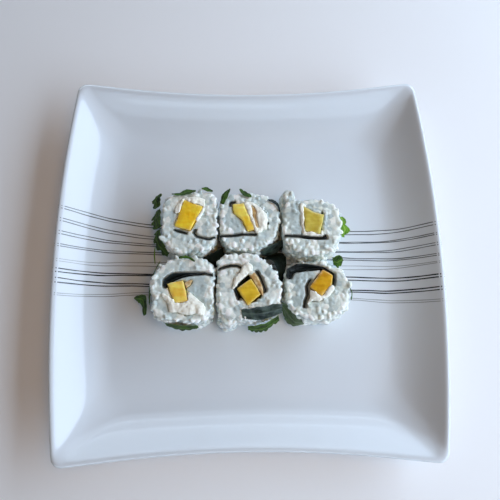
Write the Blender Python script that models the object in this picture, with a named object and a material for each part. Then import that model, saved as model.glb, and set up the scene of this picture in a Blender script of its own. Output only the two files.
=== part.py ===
"""Six uramaki pieces standing cut side up on a square porcelain plate.

Run with: blender --background --python part.py
Metres, +Z up. The origin is on the table under the middle of the plate, +X is the plate's
right and +Y its far side.
"""

import math
import random

import bmesh
import bpy
from mathutils import Matrix, Vector, noise

MM = 0.001

# Plate: a square with bowed left and right sides and hollow near and far sides.
PLATE_HALF_WIDTH = 121.8 * MM  # to a corner, along X
PLATE_HALF_DEPTH = 131.9 * MM  # to a corner, along Y
SIDE_BULGE = 10.2 * MM
END_HOLLOW = 9.0 * MM
RIM_AT_CORNERS = 28.0 * MM
RIM_AT_SIDES = 25.6 * MM
RIM_THICKNESS = 3.8 * MM
WELL_TOP = 7.5 * MM
WELL_UNDERSIDE = 2.5 * MM
UNDERSIDE_LEVEL = 2.9 * MM  # outside the foot, where the walls start to rise
FOOT_TOP = 1.75 * MM
WALL_SHARE = 0.27  # of the half width, from the rim's top to the flat well
WELL_EDGE_SHARE = 0.05
FOOT_OUTER = 0.66
FOOT_WIDTH_SHARE = 0.045
RIM_CORNER_SHARE = 0.055  # corner radius as a share of the half width
WELL_CORNER_SHARE = 0.21
WALL_CURVE = 1.7  # how slowly the wall rises out of the well
UNDERSIDE_CURVE = 1.55
FOOT_FLARE = 0.008  # how far the foot's outer wall leans out, as a share of the half width
FOOT_EDGE = 0.01
FOOT_SLOPE = 0.015
# The rim from inside to underneath: how far in from the edge, in half thicknesses, and how far
# below the rim's top, in thicknesses.
RIM_PROFILE = ((1.6, 0.05), (0.7, 0.0), (0.15, 0.16), (0.0, 0.45), (0.3, 0.8), (1.2, 1.02))
WALL_STEPS = 6
UNDERSIDE_STEPS = 5
PLATE_SIDE_STEPS = 6
PLATE_CORNER_STEPS = 4

# Room kept between solids that touch in the real food.
GAP = 0.35 * MM
WELD = 0.002 * MM
FOOD_BASE = WELL_TOP + GAP
ROOM_BELOW = 2.0 * MM
ROOM_ABOVE = 6.0 * MM
CELL_HEIGHT = 60.0 * MM

# Rice
GRAIN_LENGTH = 6.0 * MM
GRAIN_WIDTH = 2.9 * MM
GRAIN_SIDES = 5
GRAIN_WAIST = 0.24  # where a grain's two rings sit, as a share of its length from its middle
GRAIN_SCALES = (0.86, 1.04)
GRAIN_TILT = 1.1  # radians either way from level
GRAIN_SUNK = 0.25 * MM
CORE_POINTS = 25
CORE_UNEVENNESS = 1.7 * MM
UNEVENNESS_SIZE = 5.0 * MM
LUMP_POINTS = 10
SIDE_GRAIN_ROWS = 2
SIDE_GRAINS = 6
SIDE_GRAIN_SHIFT = 0.22  # of the step from grain to grain
SIDE_ROW_START = 0.55
SIDE_ROW_SHIFT = 0.15
EDGE_GRAINS = 5
EDGE_GRAIN_SHIFT = 0.25
EDGE_GRAIN_PLACE = (0.965, 0.95)  # height share and width share
TOP_GRAINS = 3
TOP_GRAIN_SUNK = 0.5 * MM
TOP_GRAIN_RING = (0.3, 0.72)  # the squares of how far out they may lie
CLEAR_OF_FILLING = 2.6  # millimetres from a filling's edge to a grain's middle
CLEAR_OF_NORI = 2.2
GRAIN_SEED = 60
# Height share and width share of a roll that has settled a little on its base, from just
# under the base, where it is cut flat.
ROLL_PROFILE = (
    (-0.03, 0.965), (0.1, 0.99), (0.3, 1.0), (0.5, 1.005), (0.7, 1.0), (0.9, 0.98), (1.0, 0.93),
)

# The same of a clump at a roll's corner.
LUMP_PROFILE = ((-0.03, 0.92), (0.35, 1.0), (0.7, 0.96), (1.0, 0.6))

# Fillings: how far each stands proud of the rice, and how far its top swells.
PROUD = {"mango": 0.9 * MM, "slice": 0.6 * MM, "cream": 0.8 * MM}
CROWN = {"mango": 0.35 * MM, "slice": 0.4 * MM, "cream": 0.9 * MM}
CROWN_INSET = 0.28
NORI_HALF = 0.35 * MM
NORI_PROUD = 0.25 * MM
MITRE_LIMIT = 0.45  # the most that a sharp corner may move outwards, as the inverse

LEAF_HALF = 0.28 * MM
LEAF_STEPS = 5
LEAF_ACROSS = 2
LEAF_TIP_WIDTH = 0.25
LEAF_END = 0.06
WAVE_STEP = 2.1  # radians of the edge's wave from one step to the next
WAVE_START = 0.7
MIDRIB_SUNK = 0.35
CURVE_STEPS = 12

# Limits between the pressed sides of neighbouring rolls, along X for each row and along Y
# for each column.
FAR_ROW_SPLITS = (-20.8, 21.3)
NEAR_ROW_SPLITS = (-22.2, 22.0)
COLUMN_SPLITS = (0.6, 2.7, -1.3)
OPEN_SIDE = 90.0
PRESS_GAP = 0.25

# One dictionary for each roll, in millimetres: its middle on the plate, how far it reaches to
# the right, far, left and near side of it, its height, how square its corners are, from the
# far right one round to the near right one, and how its cut face leans. Lumps are clumps of
# rice at its corners: their middle, half width and half depth, and their height share. Then
# come the outlines of what it is rolled round, from the roll's middle.
ROLLS = (
    {
        "name": "1", "middle": (-40.3, 23.0), "reach": (20.2, 22.3, 18.5, 22.0), "height": 27.0,
        "squareness": (4.2, 3.6, 3.0, 2.8), "lean": (0.015, -0.02), "cell": (0, 1),
        "mango": ((-3.1, 15.3), (9.7, 10.3), (1.2, -6.1), (-9.1, -3.2)),
        "cream": (
            (-8.9, 6.0), (-8.8, 10.2), (-5.4, 14.9), (-0.6, 17.4), (6.2, 17.3), (10.9, 15.6),
            (11.0, 12.0), (9.6, 6.8), (5.9, 0.4), (3.0, 2.0), (0.0, 8.0),
        ),
        "nori": (
            (-1.2, -7.6), (-8.6, -5.4), (-10.6, -2.5), (-10.4, 4.0), (-10.0, 11.0),
            (-6.2, 16.2), (-1.0, 18.6), (6.6, 18.5), (12.0, 16.4), (12.2, 12.0), (10.6, 6.2),
            (6.8, -0.8), (3.8, -7.4), (5.6, -9.8), (9.6, -11.0), (13.8, -11.8), (18.0, -10.6),
        ),
    },
    {
        "name": "2", "middle": (0.1, 24.6), "reach": (21.3, 18.8, 20.6, 22.2), "height": 27.5,
        "squareness": (2.5, 4.0, 3.0, 2.1), "lean": (-0.01, -0.015), "cell": (1, 1),
        "mango": (
            (-11.0, 10.3), (-3.6, 11.0), (3.9, -7.6), (-1.1, -8.6), (-5.4, 0.1), (-10.3, 4.0),
        ),
        "slice": ((1.2, 9.9), (3.4, 8.2), (4.9, 4.9), (6.2, -6.4), (4.6, -6.0), (3.1, -0.7)),
        "cream": (
            (-4.0, 11.8), (2.8, 11.6), (7.7, 7.7), (11.6, 2.2), (11.8, -7.1), (7.8, -9.0),
            (4.6, -9.4), (2.0, -4.0), (-2.0, 6.0),
        ),
        "nori": (
            (-19.4, -11.6), (-11.4, -11.4), (-4.1, -10.4), (3.0, -10.6), (8.0, -10.2),
            (12.8, -7.8), (12.8, 2.4), (8.4, 8.9), (3.2, 12.8), (-4.0, 12.8), (-12.2, 11.8),
            (-11.8, 3.2), (-7.0, -1.0), (-4.0, -6.8),
        ),
    },
    {
        "name": "3", "middle": (42.2, 22.6), "reach": (19.5, 15.9, 20.7, 23.8), "height": 28.5,
        "squareness": (2.9, 3.6, 3.0, 2.9), "lean": (-0.02, 0.01), "cell": (2, 1),
        "lumps": (((-15.0, 17.4), (5.8, 7.4), 0.98),),
        "mango": ((-6.1, 10.6), (1.1, 6.0), (8.1, 4.2), (4.8, -9.0), (-5.0, -6.9)),
        "cream": (
            (-7.5, 12.2), (-7.7, 4.0), (-7.4, -3.0), (-6.9, -9.6), (2.0, -10.3), (6.9, -10.4),
            (6.4, -7.0), (4.0, -4.0), (-3.0, 4.0), (-4.4, 10.6),
        ),
        "nori": (
            (-8.5, -6.0), (-8.9, 4.0), (-8.6, 13.6), (-3.4, 11.0), (1.2, 7.7), (9.6, 5.9),
            (8.6, -1.5), (7.4, -7.4), (9.2, -11.5), (2.0, -11.5), (-4.0, -10.9),
            (-9.4, -10.2), (-18.6, -9.9),
        ),
    },
    {
        "name": "4", "middle": (-43.8, -22.4), "reach": (21.4, 22.4, 20.6, 22.0), "height": 27.0,
        "squareness": (3.8, 2.1, 3.0, 4.0), "lean": (0.01, 0.02), "cell": (0, 0),
        "mango": ((-9.5, 3.4), (0.8, 6.0), (4.2, -7.8), (-4.1, -9.0)),
        "slice": ((0.8, 3.0), (3.0, 5.0), (6.9, 6.2), (5.6, 2.8), (3.4, 1.2), (1.0, -0.4)),
        "cream": (
            (-12.6, -3.0), (-10.6, -3.8), (-7.6, -6.6), (-2.0, -8.4), (4.0, -7.4), (4.4, -2.0),
            (5.8, -2.6), (7.4, -4.4), (12.6, -8.6), (14.9, -12.0), (14.4, -17.4), (9.0, -15.8),
            (3.1, -17.0), (-2.6, -14.8), (-7.1, -14.6), (-8.6, -9.6),
        ),
        "nori": (
            (-11.2, 1.6), (-10.2, 5.4), (-5.3, 8.5), (0.0, 9.6), (5.4, 10.2), (14.6, 10.5),
            (19.8, 9.2),
        ),
        "nori_folds": (1.0, 3.8, 4.2, 2.4, 1.2),
    },
    {
        "name": "5", "middle": (-0.2, -22.0), "reach": (21.9, 24.5, 21.8, 21.3), "height": 27.5,
        "squareness": (1.65, 5.0, 3.4, 2.0), "lean": (0.0, -0.02), "cell": (1, 0),
        "lumps": (((-14.0, -18.4), (7.6, 7.2), 0.82),),
        "mango": ((-8.0, -0.6), (1.1, 6.2), (7.4, -4.3), (-1.3, -11.4)),
        "slice": (
            (0.2, 8.2), (3.6, 10.0), (6.2, 6.2), (8.9, -0.8), (8.6, -5.2), (6.4, -3.0),
            (3.6, 1.6),
        ),
        "cream": (
            (-10.9, -0.6), (-9.8, 6.0), (-6.4, 10.0), (-3.0, 14.9), (-0.6, 16.0), (2.0, 14.4),
            (1.8, 11.2), (-3.0, 7.4), (-7.0, 3.6), (-9.6, 0.2),
        ),
        "nori": ((-20.2, 12.5), (-16.6, 14.0), (-12.5, 15.0), (-8.0, 15.0), (-5.0, 13.6)),
        "nori_inner": (
            (1.4, 9.8), (-3.6, 5.8), (-9.2, 0.0), (-7.0, -7.0), (-1.6, -12.8), (3.5, -10.0),
            (8.8, -7.4), (10.4, -1.2), (7.6, 6.4), (4.8, 11.4),
        ),
    },
    {
        "name": "6", "middle": (44.3, -23.2), "reach": (22.2, 19.2, 21.3, 20.4), "height": 26.5,
        "squareness": (1.95, 4.5, 2.4, 2.2), "lean": (0.02, 0.0), "cell": (2, 0),
        "mango": ((3.4, 13.3), (10.0, 9.3), (9.0, 2.7), (1.9, -4.5), (-5.6, 1.5), (-3.2, 4.4)),
        "cream": (
            (-7.2, -9.4), (-5.6, -5.0), (-5.0, -0.5), (0.0, -3.6), (8.0, 0.6), (9.2, 3.4),
            (10.4, 2.6), (9.0, -2.0), (5.0, -5.6), (0.0, -7.6), (-4.2, -6.9),
        ),
        "nori": (
            (-18.6, 8.0), (-17.6, 13.0), (-13.0, 15.0), (-6.0, 15.0), (3.2, 14.6),
            (10.6, 10.4), (10.7, 6.0), (9.9, 2.0),
        ),
        "nori_folds": (2.4, 4.6, 5.0, 3.6, 1.2),
        "nori_inner": ((-4.6, 6.6), (-7.2, 1.8), (-6.6, -3.2), (-8.6, -8.0), (-9.2, -11.6)),
    },
)

# One row for each leaf, in millimetres on the plate: its upper edge and its lower edge,
# from end to end, and how deep its waves and its teeth are.
LEAVES = (
    ("leaf_1_bud", ((-59.0, 44.4, 31.0), (-59.8, 40.4, 31.5), (-59.8, 36.0, 30.0)),
     ((-62.4, 46.2, 27.0), (-67.2, 41.6, 22.0), (-67.0, 35.4, 20.0)), 0.4, 0.4),
    ("leaf_1_side", ((-59.6, 34.4, 30.0), (-59.4, 28.0, 31.5), (-59.4, 21.2, 30.0)),
     ((-67.0, 33.8, 19.0), (-67.8, 28.0, 17.0), (-67.0, 21.6, 16.5)), 0.5, 0.7),
    ("leaf_1_low", ((-59.6, 19.8, 30.0), (-58.6, 12.0, 29.0), (-53.4, 4.6, 26.0)),
     ((-66.8, 20.0, 17.0), (-65.4, 11.0, 14.0), (-57.4, 2.4, 13.0)), 0.6, 0.8),
    ("leaf_1_stem", ((-62.6, 8.0, 26.5), (-63.8, 3.6, 21.0), (-64.0, -1.0, 16.0)),
     ((-63.6, 8.0, 25.9), (-64.7, 3.6, 20.5), (-64.8, -1.0, 15.6)), 0.0, 0.0),
    ("leaf_1_far", ((-51.8, 41.9, 35.6), (-46.7, 41.0, 35.9), (-41.2, 41.8, 35.9), (-35.5, 43.5, 35.6)),
     ((-51.8, 43.4, 34.2), (-47.1, 44.0, 34.0), (-42.5, 46.2, 33.8), (-35.6, 46.2, 34.2)), 0.3, 0.3),
    ("leaf_1_far_tip", ((-31.3, 45.6, 35.8), (-28.0, 43.9, 35.9), (-24.0, 43.4, 35.8)),
     ((-32.0, 47.4, 34.2), (-28.1, 47.9, 33.8), (-24.3, 45.7, 34.2)), 0.2, 0.3),
    ("leaf_2_corner", ((-12.1, 45.5, 35.9), (-13.6, 40.9, 36.3), (-16.4, 34.3, 36.2)),
     ((-12.8, 47.0, 34.4), (-17.8, 42.4, 34.2), (-19.8, 36.2, 34.6)), 0.3, 0.4),
    ("leaf_2_far", ((-6.5, 45.3, 35.4), (-3.8, 40.9, 36.2), (1.8, 39.2, 36.2)),
     ((-5.5, 46.9, 34.2), (-2.5, 44.8, 34.4), (2.2, 41.8, 35.0)), 0.3, 0.4),
    ("leaf_2_dark", ((12.3, 36.9, 36.0), (15.6, 35.9, 36.1), (18.9, 33.1, 36.0), (20.1, 28.5, 35.8)),
     ((13.0, 39.9, 34.2), (16.1, 40.3, 33.4), (20.8, 37.0, 33.6), (21.9, 30.4, 34.2)), 0.2, 0.5),
    ("leaf_2_low", ((7.0, 3.8, 30.0), (14.6, 7.6, 31.0), (22.6, 13.0, 28.0)),
     ((9.4, 3.2, 18.0), (17.6, 4.4, 16.0), (23.6, 9.0, 16.0)), 0.5, 0.6),
    ("leaf_3_bright", ((61.9, 28.2, 28.0), (61.4, 21.2, 29.0), (63.1, 14.0, 27.0)),
     ((66.2, 29.4, 24.0), (70.2, 21.8, 21.0), (66.5, 15.0, 22.0)), 0.6, 0.7),
    ("leaf_3_low", ((56.8, 0.4, 21.5), (60.4, 2.6, 22.5), (63.6, 2.0, 20.5)),
     ((58.8, -4.4, 14.0), (62.8, -4.4, 12.5), (66.2, -0.6, 13.5)), 0.5, 0.6),
    ("leaf_gap", ((8.6, -1.4, 24.0), (15.4, -2.2, 27.0), (18.4, -9.0, 27.0), (20.0, -15.0, 25.0)),
     ((12.8, 1.8, 17.0), (23.4, 2.6, 21.0), (24.9, -6.4, 22.0), (22.4, -15.6, 21.0)), 0.4, 0.5),
    ("leaf_notch", ((-30.5, 0.6, 22.0), (-25.5, 1.6, 23.0), (-20.0, 5.6, 22.0)),
     ((-29.0, -1.4, 17.0), (-24.0, -4.6, 18.0), (-18.8, -3.4, 17.0)), 0.3, 0.4),
    ("leaf_4_side", ((-58.8, -2.6, 29.5), (-63.2, -13.6, 31.5), (-64.8, -29.6, 29.0)),
     ((-61.8, -1.0, 17.0), (-67.4, -13.0, 14.0), (-68.2, -30.4, 16.0)), 0.4, 0.6),
    ("leaf_4_hook",
     ((-78.8, -23.2, 12.5), (-73.5, -22.7, 18.0), (-69.4, -24.2, 19.5), (-69.4, -35.0, 15.0)),
     ((-78.1, -24.6, 11.0), (-74.7, -26.3, 13.0), (-72.4, -27.6, 13.5), (-71.4, -35.6, 11.5)), 0.4, 0.5),
    ("leaf_4_near", ((-54.6, -43.6, 30.0), (-45.0, -45.2, 31.5), (-33.6, -45.2, 29.0)),
     ((-53.6, -45.0, 24.0), (-44.0, -47.4, 20.0), (-33.0, -46.8, 23.0)), 0.5, 0.6),
    ("leaf_5_flap", ((-5.6, -35.4, 36.4), (6.0, -34.4, 37.2), (20.8, -31.8, 35.6)),
     ((-4.8, -42.0, 35.2), (8.0, -42.8, 34.4), (20.6, -38.6, 32.6)), 0.8, 0.4),
    ("leaf_5_near", ((-1.4, -45.6, 26.5), (8.4, -44.4, 28.0), (18.8, -38.8, 27.5)),
     ((-0.8, -48.2, 15.0), (9.0, -48.4, 13.0), (20.2, -42.6, 15.0)), 0.5, 0.7),
    ("leaf_6_smooth",
     ((21.1, -30.2, 27.0), (27.0, -33.2, 28.0), (30.8, -39.3, 27.0), (36.4, -41.7, 23.0)),
     ((21.0, -32.4, 17.0), (23.4, -39.0, 13.0), (28.8, -44.2, 11.5), (36.4, -43.8, 12.5)), 0.3, 0.0),
    ("leaf_6_tip", ((66.0, -21.4, 30.0), (66.8, -25.0, 31.0), (66.2, -28.6, 29.0)),
     ((67.4, -21.0, 25.0), (69.0, -25.0, 21.0), (67.6, -29.0, 25.0)), 0.3, 0.4),
)
DARK_LEAVES = ("leaf_2_dark", "leaf_2_low", "leaf_gap", "leaf_notch", "leaf_5_flap")
SMOOTH_LEAVES = ("leaf_6_smooth",)
# The scrap on the fourth roll: its middle line, half width, height over the roll and slope.
LEAF_ON_TOP = ("leaf_4_top", ((-46.0, -1.7), (-40.4, -1.4), (-35.4, -4.2)), 1.5, 0.9, 0.3)


def clear_scene():
    for thing in list(bpy.data.objects):
        bpy.data.objects.remove(thing, do_unlink=True)


def make_material(name, colour, roughness, coat=0.0, subsurface=0.0):
    material = bpy.data.materials.new(name)
    material.use_nodes = True
    shader = material.node_tree.nodes["Principled BSDF"]
    shader.inputs["Base Color"].default_value = (*colour, 1.0)
    shader.inputs["Roughness"].default_value = roughness
    shader.inputs["Metallic"].default_value = 0.0
    shader.inputs["Coat Weight"].default_value = coat
    shader.inputs["Subsurface Weight"].default_value = subsurface
    return material


def add_object(name, mesh, material=None, collection=None):
    thing = bpy.data.objects.new(name, mesh)
    if material:
        mesh.materials.append(material)
    (collection or bpy.context.scene.collection).objects.link(thing)
    return thing


def smooth_shading(thing, degrees=35):
    thing.data.shade_smooth()
    thing.data.set_sharp_from_angle(angle=math.radians(degrees))


def loft(name, rings, material=None, collection=None):
    """A closed solid through rings of points, all of one count, with flat caps."""
    bm = bmesh.new()
    rows = [[bm.verts.new(point) for point in ring] for ring in rings]
    count = len(rings[0])
    for lower, upper in zip(rows, rows[1:]):
        for i in range(count):
            j = (i + 1) % count
            bm.faces.new((lower[i], lower[j], upper[j], upper[i]))
    bm.faces.new(list(reversed(rows[0])))
    bm.faces.new(rows[-1])
    bmesh.ops.recalc_face_normals(bm, faces=bm.faces)
    mesh = bpy.data.meshes.new(name)
    bm.to_mesh(mesh)
    bm.free()
    return add_object(name, mesh, material, collection)


def smooth_path(points, steps):
    """Evenly stepped points of a smooth curve through the given ones."""
    points = [Vector(point) for point in points]
    ends = [2 * points[0] - points[1], *points, 2 * points[-1] - points[-2]]
    dense = []
    for a, b, c, d in zip(ends, ends[1:], ends[2:], ends[3:]):
        for k in range(CURVE_STEPS):
            t = k / CURVE_STEPS
            dense.append(
                0.5 * (2 * b + (c - a) * t + (2 * a - 5 * b + 4 * c - d) * t * t
                       + (3 * b - 3 * c + d - a) * t ** 3)
            )
    dense.append(points[-1])
    lengths = [0.0]
    for a, b in zip(dense, dense[1:]):
        lengths.append(lengths[-1] + (b - a).length)
    found = []
    at = 0
    for k in range(steps + 1):
        wanted = lengths[-1] * k / steps
        while at < len(dense) - 2 and lengths[at + 1] < wanted:
            at += 1
        span = max(lengths[at + 1] - lengths[at], 1e-9)
        share = min(max((wanted - lengths[at]) / span, 0.0), 1.0)
        found.append(dense[at].lerp(dense[at + 1], share))
    return found


def rounded_square(half, corner):
    """Points round a square with round corners, from the middle of its right side."""
    points = []
    flat = half - corner
    for quarter in range(4):
        turn = Matrix.Rotation(quarter * math.pi / 2, 2)
        for k in range(PLATE_SIDE_STEPS):
            points.append(turn @ Vector((half, flat * (2 * k / PLATE_SIDE_STEPS - 1))))
        for k in range(PLATE_CORNER_STEPS):
            angle = math.pi / 2 * k / PLATE_CORNER_STEPS
            bend = Vector((math.cos(angle), math.sin(angle))) * corner
            points.append(turn @ (Vector((flat, flat)) + bend))
    return points


def plate_ring(share, rim_share, depth=0.0, level=WELL_TOP):
    """One ring of the plate, at this share of its half width.

    Its height runs from level, at a rim_share of 0, to the rim, at 1, less the depth.
    """
    inward = min((1 - share) / WALL_SHARE, 1.0)
    corner = RIM_CORNER_SHARE + (WELL_CORNER_SHARE - RIM_CORNER_SHARE) * inward
    ring = []
    for point in rounded_square(share, corner * share):
        u, v = point
        x = u * (PLATE_HALF_WIDTH + SIDE_BULGE * (1 - v * v))
        y = v * (PLATE_HALF_DEPTH - END_HOLLOW * (1 - u * u))
        along = min(abs(u), abs(v)) / max(abs(u), abs(v))
        rim = RIM_AT_SIDES + (RIM_AT_CORNERS - RIM_AT_SIDES) * along ** 2
        ring.append((x, y, level + (rim - level) * rim_share - depth))
    return ring


def make_plate(material):
    lip = RIM_THICKNESS / 2 / PLATE_HALF_WIDTH
    rim_in, rim_under = RIM_PROFILE[0][0] * lip, RIM_PROFILE[-1][0] * lip
    rings = [plate_ring(1 - WALL_SHARE - WELL_EDGE_SHARE, 0.0)]
    for k in range(WALL_STEPS):
        t = k / WALL_STEPS
        share = 1 - rim_in - (1 - t) * (WALL_SHARE - rim_in)
        rings.append(plate_ring(share, t ** WALL_CURVE))
    for inward, depth in RIM_PROFILE:
        rings.append(plate_ring(1 - inward * lip, 1.0, depth * RIM_THICKNESS))
    for k in range(1, UNDERSIDE_STEPS):
        t = k / UNDERSIDE_STEPS
        share = 1 - rim_under - t * (1 - rim_under - FOOT_OUTER - FOOT_EDGE)
        depth = RIM_THICKNESS * (1 - t)
        rings.append(plate_ring(share, (1 - t) ** UNDERSIDE_CURVE, depth, UNDERSIDE_LEVEL))
    rings.append(plate_ring(FOOT_OUTER + FOOT_FLARE, 0.0, 0.0, FOOT_TOP))
    rings.append(plate_ring(FOOT_OUTER, 0.0, 0.0, 0.0))
    rings.append(plate_ring(FOOT_OUTER - FOOT_WIDTH_SHARE, 0.0, 0.0, 0.0))
    inside_foot = FOOT_OUTER - FOOT_WIDTH_SHARE - FOOT_SLOPE
    rings.append(plate_ring(inside_foot, 0.0, 0.0, WELL_UNDERSIDE))
    plate = loft("plate", rings, material)
    smooth_shading(plate, 50)
    return plate


def grown(outline, by):
    """A closed outline, moved outwards by this much."""
    points = [Vector(point) for point in outline]
    area = sum(a.x * b.y - b.x * a.y for a, b in zip(points, points[1:] + points[:1]))
    way = 1 if area > 0 else -1
    found = []
    for before, point, after in zip(points[-1:] + points[:-1], points, points[1:] + points[:1]):
        first = (point - before).normalized()
        second = (after - point).normalized()
        normals = [Vector((edge.y, -edge.x)) * way for edge in (first, second)]
        middle = (normals[0] + normals[1]).normalized()
        found.append(point + middle * by / max(middle.dot(normals[0]), MITRE_LIMIT))
    return found


def ribbon(path, halves):
    """The closed outline of a band along an open path, with a half width at each point."""
    points = [Vector(point) for point in path]
    left, right = [], []
    for i, (point, half) in enumerate(zip(points, halves)):
        ahead = points[min(i + 1, len(points) - 1)]
        behind = points[max(i - 1, 0)]
        along = (ahead - behind).normalized()
        across = Vector((-along.y, along.x))
        left.append(point + across * half)
        right.append(point - across * half)
    return left + right[::-1]


def prism(name, outline, bottom, top, material=None, collection=None, crown=0.0, seed=0):
    """A standing solid of this outline, its top face flat or crowned and uneven."""
    rings = [[(*p, bottom) for p in outline]]
    if crown:
        middle = sum((Vector(p) for p in outline), Vector((0, 0))) / len(outline)
        spots = [Vector((i * 1.7, seed * 3.1, 0.0)) for i in range(len(outline))]
        bumps = [crown * noise.noise(spot) for spot in spots]
        inner = [Vector(p).lerp(middle, CROWN_INSET) for p in outline]
        rings.append([(*p, (bottom + top) / 2) for p in outline])
        rings.append([(*p, top - 0.5 * crown + 0.6 * bump) for p, bump in zip(outline, bumps)])
        rings.append([(*p, top + 0.4 * crown + bump) for p, bump in zip(inner, bumps)])
    else:
        rings.append([(*p, top) for p in outline])
    return loft(name, rings, material, collection)


def helper_collection(name):
    collection = bpy.data.collections.new(name)
    bpy.context.scene.collection.children.link(collection)
    return collection


def hide_helper(thing):
    thing.hide_render = True
    thing.display_type = "WIRE"


def combine(thing, operation, collection):
    """Applies a Boolean with every object of the collection, and removes them.

    The MANIFOLD solver takes over where the EXACT one leaves the solid open.
    """
    bpy.context.view_layer.update()
    modifier = thing.modifiers.new(operation.title(), "BOOLEAN")
    modifier.operation = operation
    modifier.operand_type = "COLLECTION"
    modifier.collection = collection
    for solver in ("EXACT", "MANIFOLD"):
        modifier.solver = solver
        bpy.context.view_layer.update()
        graph = bpy.context.evaluated_depsgraph_get()
        mesh = bpy.data.meshes.new_from_object(thing.evaluated_get(graph))
        if keep_main_shell(mesh):
            break
    thing.modifiers.clear()
    thing.data = mesh
    for helper in list(collection.objects):
        bpy.data.objects.remove(helper, do_unlink=True)
    bpy.data.collections.remove(collection)


def shells_of(bm):
    """The mesh's points, grouped by what is joined."""
    left = set(bm.verts)
    shells = []
    while left:
        start = left.pop()
        shell = {start}
        open_ends = [start]
        while open_ends:
            vert = open_ends.pop()
            for edge in vert.link_edges:
                other = edge.other_vert(vert)
                if other in left:
                    left.discard(other)
                    shell.add(other)
                    open_ends.append(other)
        shells.append(shell)
    return shells


def keep_main_shell(mesh):
    """Drops loose scraps and the walls of sealed hollows, which fills those hollows.

    It says whether the mesh that is left is closed.
    """
    bm = bmesh.new()
    bm.from_mesh(mesh)
    bmesh.ops.remove_doubles(bm, verts=bm.verts, dist=WELD)
    bmesh.ops.dissolve_degenerate(bm, edges=bm.edges, dist=WELD)
    main = max(shells_of(bm), key=len)
    bmesh.ops.delete(bm, geom=[vert for vert in bm.verts if vert not in main], context="VERTS")
    bmesh.ops.triangulate(bm, faces=bm.faces)
    closed = all(len(edge.link_faces) == 2 for edge in bm.edges)
    bm.to_mesh(mesh)
    bm.free()
    return closed


def leaf_sheet(upper, lower, teeth, more):
    """Rows of points across a leaf, from end to end, toothed along its lower edge."""
    upper = smooth_path([Vector(p) * MM for p in upper], LEAF_STEPS)
    lower = smooth_path([Vector(p) * MM for p in lower], LEAF_STEPS)
    sheet = []
    for i, (high, low) in enumerate(zip(upper, lower)):
        share = LEAF_END + (1 - 2 * LEAF_END) * i / LEAF_STEPS
        taper = LEAF_TIP_WIDTH + (1 - LEAF_TIP_WIDTH) * math.sin(math.pi * share)
        tooth = teeth * MM * (1 if i % 2 else -1)
        down = (low - high).normalized()
        row = []
        for j in range(LEAF_ACROSS + 1):
            point = (high + low) / 2 + (low - high) * (j / LEAF_ACROSS - 0.5) * taper
            row.append(point + down * (tooth * j / LEAF_ACROSS + more * (j - LEAF_ACROSS / 2)))
        sheet.append(row)
    for end, beyond in ((0, 1), (-1, -2)):
        way = (sheet[end][1] - sheet[beyond][1]).normalized()
        sheet[end] = [point + way * more for point in sheet[end]]
    return sheet


def leaf_border():
    """The steps round a leaf's edge, as a row and a place in the row."""
    border = [(i, 0) for i in range(LEAF_STEPS)]
    border += [(LEAF_STEPS, j) for j in range(LEAF_ACROSS)]
    border += [(LEAF_STEPS - i, LEAF_ACROSS) for i in range(LEAF_STEPS)]
    border += [(0, LEAF_ACROSS - j) for j in range(LEAF_ACROSS)]
    return border


def leaf_solid(name, upper, lower, wave, teeth, more=0.0, material=None, collection=None):
    """A thin wavy solid between two edges, with both faces split into triangles alike.

    It is thicker and wider all round where more is set, for the room that a leaf needs.
    """
    half = LEAF_HALF + more
    sheet = leaf_sheet(upper, lower, teeth, more)
    bm = bmesh.new()
    top, under = [], []
    for i, row in enumerate(sheet):
        along = sheet[min(i + 1, LEAF_STEPS)][1] - sheet[max(i - 1, 0)][1]
        normal = along.cross(row[-1] - row[0]).normalized()
        lift = wave * MM * math.sin(i * WAVE_STEP + WAVE_START)
        for side, grid in ((1, top), (-1, under)):
            verts = []
            for j, point in enumerate(row):
                sunk = MIDRIB_SUNK * wave * MM if j == 1 else 0.0
                verts.append(bm.verts.new(point + normal * (lift * j / LEAF_ACROSS - sunk + side * half)))
            grid.append(verts)
    for i in range(LEAF_STEPS):
        for j in range(LEAF_ACROSS):
            for grid, flip in ((top, False), (under, True)):
                a, b, c, d = grid[i][j], grid[i + 1][j], grid[i + 1][j + 1], grid[i][j + 1]
                for corners in ((a, b, c), (a, c, d)):
                    bm.faces.new(corners[::-1] if flip else corners)
    border = leaf_border()
    for (i, j), (k, m) in zip(border, border[1:] + border[:1]):
        bm.faces.new((top[i][j], under[i][j], under[k][m]))
        bm.faces.new((top[i][j], under[k][m], top[k][m]))
    bmesh.ops.recalc_face_normals(bm, faces=bm.faces)
    mesh = bpy.data.meshes.new(name)
    bm.to_mesh(mesh)
    bm.free()
    return add_object(name, mesh, material, collection)


def leaf_on_top(more=0.0, material=None, collection=None):
    """The flat scrap of leaf that lies on the far edge of the fourth roll's cut face."""
    name, path, half_width, over, slope = LEAF_ON_TOP
    height = ROLLS[3]["height"] + FOOD_BASE / MM + over
    upper = [(x, y + half_width, height) for x, y in path]
    lower = [(x, y - half_width, height + slope) for x, y in path]
    return leaf_solid(name, upper, lower, 0.2, 0.2, more, material, collection)


def make_leaves(materials):
    made = [leaf_on_top(0.0, materials["fresh"])]
    for name, *shape in LEAVES:
        kind = "dark" if name in DARK_LEAVES else "smooth" if name in SMOOTH_LEAVES else "fresh"
        made.append(leaf_solid(name, *shape, 0.0, materials[kind]))
    for leaf in made:
        smooth_shading(leaf, 60)


def add_leaf_room(collection):
    """Copies of every leaf, thicker by the gap on each side."""
    for name, *shape in LEAVES:
        hide_helper(leaf_solid(name + ".room", *shape, GAP, None, collection))
    hide_helper(leaf_on_top(GAP, None, collection))


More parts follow.
